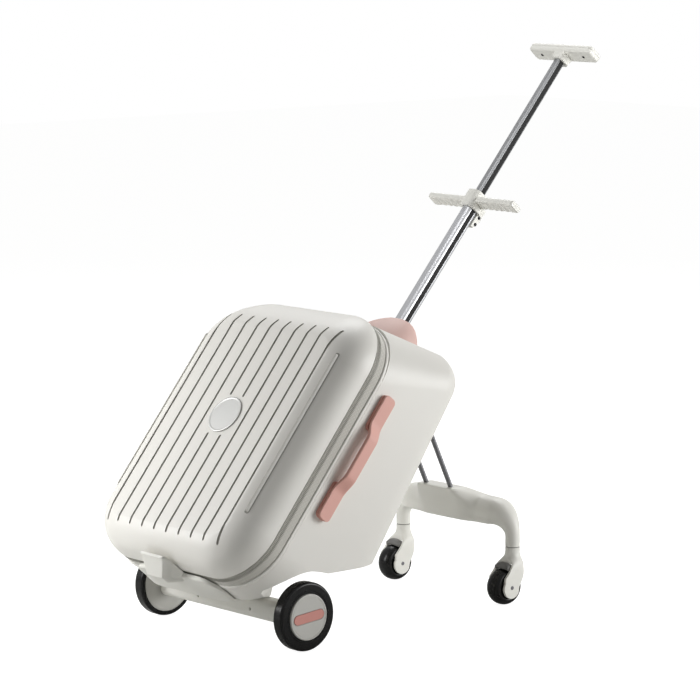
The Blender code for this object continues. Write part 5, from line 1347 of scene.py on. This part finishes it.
for side in (-1, 1):
    cut(bracket, rod("stem_bore", (CASTER_X, side * CASTER_Y, STEM_END - 0.01),
                     (CASTER_X, side * CASTER_Y, STEM_END + KINGPIN_REACH), KINGPIN_RADIUS + RUNNING,
                     IN_WORLD))
    top, bottom = strut_ends(side)
    cut(bracket, rod("strut_socket", bottom + strut_axis * GAP, top, STRUT_RADIUS + GAP, IN_WORLD))
placed(bracket, warm_abs, "leg", "leg_bracket", smooth_under=50)

# Casters: a moulded fork on a kingpin, a narrow black wheel on a nylon core, and a small dark mudguard.
# Each trails behind its stem, and its tread falls away to both sides.
CASTER_TRAIL = 0.0185
CASTER_RADIUS = 0.0287
CASTER_WIDTH = 0.028
CASTER_BORE = 0.0145
CASTER_AXLE = 0.003
WASHER_INSET = 0.0008
AXLE_PROUD = 0.0006
TREAD_FALL = 0.0052
TREAD_POWER = 2.6
TREAD_EDGE = 0.0040
FORK_SIDE = 0.004
FORK_CLEAR = 0.0012
FORK_LOBE = 0.0162
FORK_HEADROOM = 0.0078
FORK_SHOULDER = 0.0785
FENDER_THICKNESS = 0.0088
FENDER_EDGE = 0.0028
FENDER_BRIM = FENDER_EDGE * 0.8
FENDER_CLEAR = 0.0018
FENDER_START = 68
FENDER_END = 104
FENDER_CLOSE = 0.85

slot_half = CASTER_WIDTH / 2 + FORK_CLEAR
fork_half = slot_half + FORK_SIDE
slot_top = 2 * CASTER_RADIUS + FORK_HEADROOM
washer_top = STEM_END - GAP
washer_floor = STEM_END - 3 * GAP
fork_top = STEM_END - 4 * GAP
fork_outline = [(-STEM_RADIUS - 0.004, fork_top), (STEM_RADIUS + 0.001, fork_top), (0.0110, FORK_SHOULDER),
                (0.0104, 0.068), (0.0098, 0.058), (0.0084, 0.052), (0.0062, 0.046), (0.0034, 0.040),
                (0.0002, 0.034), (-0.0030, 0.0285)]
for step in range(33):
    angle = radians(-30 - 180 * step / 32)
    fork_outline.append((-CASTER_TRAIL + FORK_LOBE * cos(angle),
                         CASTER_RADIUS - 0.001 + FORK_LOBE * sin(angle)))
fork_outline += [(-0.0320, 0.0445), (-0.0288, 0.0475), (-0.0245, 0.0520), (-0.0210, 0.0565),
                 (-0.0178, 0.0615), (-0.0150, 0.0670), (-0.0138, FORK_SHOULDER - 0.007),
                 (-STEM_RADIUS - 0.002, FORK_SHOULDER)]
fork_slot = [(-0.06, -0.03), (-0.06, slot_top), (0.06, slot_top), (0.06, -0.03)]
fork_front = STEM_RADIUS + 0.0002
envelope_loops = []
for height, back, half, squareness in (
        (0.0935, STEM_RADIUS, STEM_RADIUS, 2.0), (0.0840, STEM_RADIUS, STEM_RADIUS, 2.0),
        (0.0800, 0.0116, 0.0119, 2.05), (FORK_SHOULDER - 0.002, 0.0118, 0.0129, 2.2),
        (0.0735, 0.0130, 0.0143, 2.5), (0.0705, 0.0150, 0.0162, 2.8), (0.0665, 0.0190, 0.0182, 3.5),
        (0.0615, 0.0245, 0.0189, 4.2), (0.0560, 0.0300, fork_half, 5.0),
        (0.0440, 0.0400, fork_half + 0.0006, 6.0), (-0.0100, 0.0400, fork_half + 0.0006, 6.0)):
    envelope_loops.append([((fork_front - back) / 2 + (fork_front + back) / 2 * along, half * across, height)
                           for along, across in superellipse(squareness, 64)])
washer = [(KINGPIN_RADIUS + GAP, washer_top), (STEM_RADIUS - WASHER_INSET, washer_top),
          (STEM_RADIUS - WASHER_INSET, washer_floor), (KINGPIN_RADIUS + GAP, washer_floor)]
washer_loops = [[(radius * c, radius * s, z) for radius, z in washer] for c, s in circle(48)]
guard_loops = []
for step in range(25):
    share = step / 24
    angle = radians(FENDER_START + (FENDER_END - FENDER_START) * share)
    peak = FENDER_EDGE + (FENDER_THICKNESS - FENDER_EDGE) * sin(pi * share**1.6)
    under = [-cos(pi * number / 12) for number in range(13)]
    over = [cos(pi * number / 20) for number in range(21)]
    section = [(across, -TREAD_FALL * abs(across) ** TREAD_POWER * 0.55) for across in under]
    section += [(across, FENDER_BRIM + (peak - FENDER_BRIM) * (1 - across**2) ** 0.6) for across in over]
    close = sqrt(max(0.0, 1 - max(0.0, (share - FENDER_CLOSE) / (1 - FENDER_CLOSE)) ** 2)) * 0.6 + 0.4
    loop = []
    for across, rise in section:
        radius = CASTER_RADIUS + FENDER_CLEAR + rise * close
        loop.append((-CASTER_TRAIL + radius * cos(angle), (slot_half - GAP) * across * (0.7 + 0.3 * close),
                     CASTER_RADIUS + radius * sin(angle)))
    guard_loops.append(loop)
half = CASTER_WIDTH / 2
tread = [(CASTER_BORE, -half * 0.86)]
for step in range(25):
    across = -cos(pi * step / 24)
    edge = TREAD_EDGE * max(0.0, (abs(across) - 0.965) / 0.035)
    tread.append((CASTER_RADIUS - TREAD_FALL * abs(across) ** TREAD_POWER - edge, half * across))
tread.append((CASTER_BORE, half * 0.86))
core = [(CASTER_AXLE + RUNNING, -half), (0.006, -half), (0.0075, -half * 0.82),
        (CASTER_BORE - GAP, -half * 0.78)]
core += [(radius, -y) for radius, y in reversed(core)]
for name, side in SIDES:
    body = f"caster_{name}"
    swivel = IN_WORLD @ Matrix.Translation((CASTER_X, side * CASTER_Y, 0))
    wheel = swivel @ Matrix.Translation((-CASTER_TRAIL, 0, CASTER_RADIUS))
    fork = slab(f"fork_body_{name}", fork_outline, fork_half, swivel)
    cut(fork, skin("fork_envelope", envelope_loops, swivel), "INTERSECT")
    cut(fork, slab("fork_slot", fork_slot, slot_half, swivel))
    cut(fork, rod("fork_bore", (0, -0.03, 0), (0, 0.03, 0), CASTER_AXLE + GAP, wheel))
    cut(fork, rod("kingpin_bore", (0, 0, slot_top + 0.006), (0, 0, STEM_END + KINGPIN_RISE),
                  KINGPIN_RADIUS + GAP, swivel))
    placed(eased(fork, 0.0009, 3, 40), warm_abs, body, f"fork_{name}")
    kingpin = rod(f"kingpin_rod_{name}", (0, 0, slot_top + 0.0063), (0, 0, STEM_END + KINGPIN_RISE),
                  KINGPIN_RADIUS, swivel)
    placed(kingpin, drawn_steel, body, f"kingpin_{name}")
    placed(skin(f"swivel_ring_{name}", washer_loops, swivel, ring=True), grey_nylon, body,
           f"swivel_washer_{name}")
    placed(skin(f"mudguard_{name}", guard_loops, swivel), grey_nylon, body, f"fender_{name}",
           smooth_under=50)
    reach = fork_half + AXLE_PROUD
    axle = rod(f"caster_bolt_{name}", (0, -reach, 0), (0, reach, 0), CASTER_AXLE, wheel)
    placed(eased(axle, 0.0005, 2, 50), drawn_steel, body, f"caster_axle_{name}")
    placed(turned(f"caster_tread_{name}", tread, 72, wheel), rubber, f"caster_wheel_{name}",
           f"caster_tyre_{name}", smooth_under=45)
    placed(turned(f"caster_core_{name}", core, 64, wheel), grey_nylon, f"caster_wheel_{name}",
           f"caster_hub_{name}")

# Lid hinges and the seat's pan keep their solids: grey nylon leaves, steel pins and a plain moulded plate.
# They are hidden while the lid is shut and the seat is on.
finishes = {"saddle_pan": grey_nylon}
for leaf, finish in (("case", grey_nylon), ("lid", grey_nylon), ("pin", drawn_steel)):
    for end in ("lower", "upper"):
        finishes[f"hinge_{leaf}_{end}"] = finish
for node, finish in finishes.items():
    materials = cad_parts[node].data.materials
    materials.clear()
    materials.append(finish)
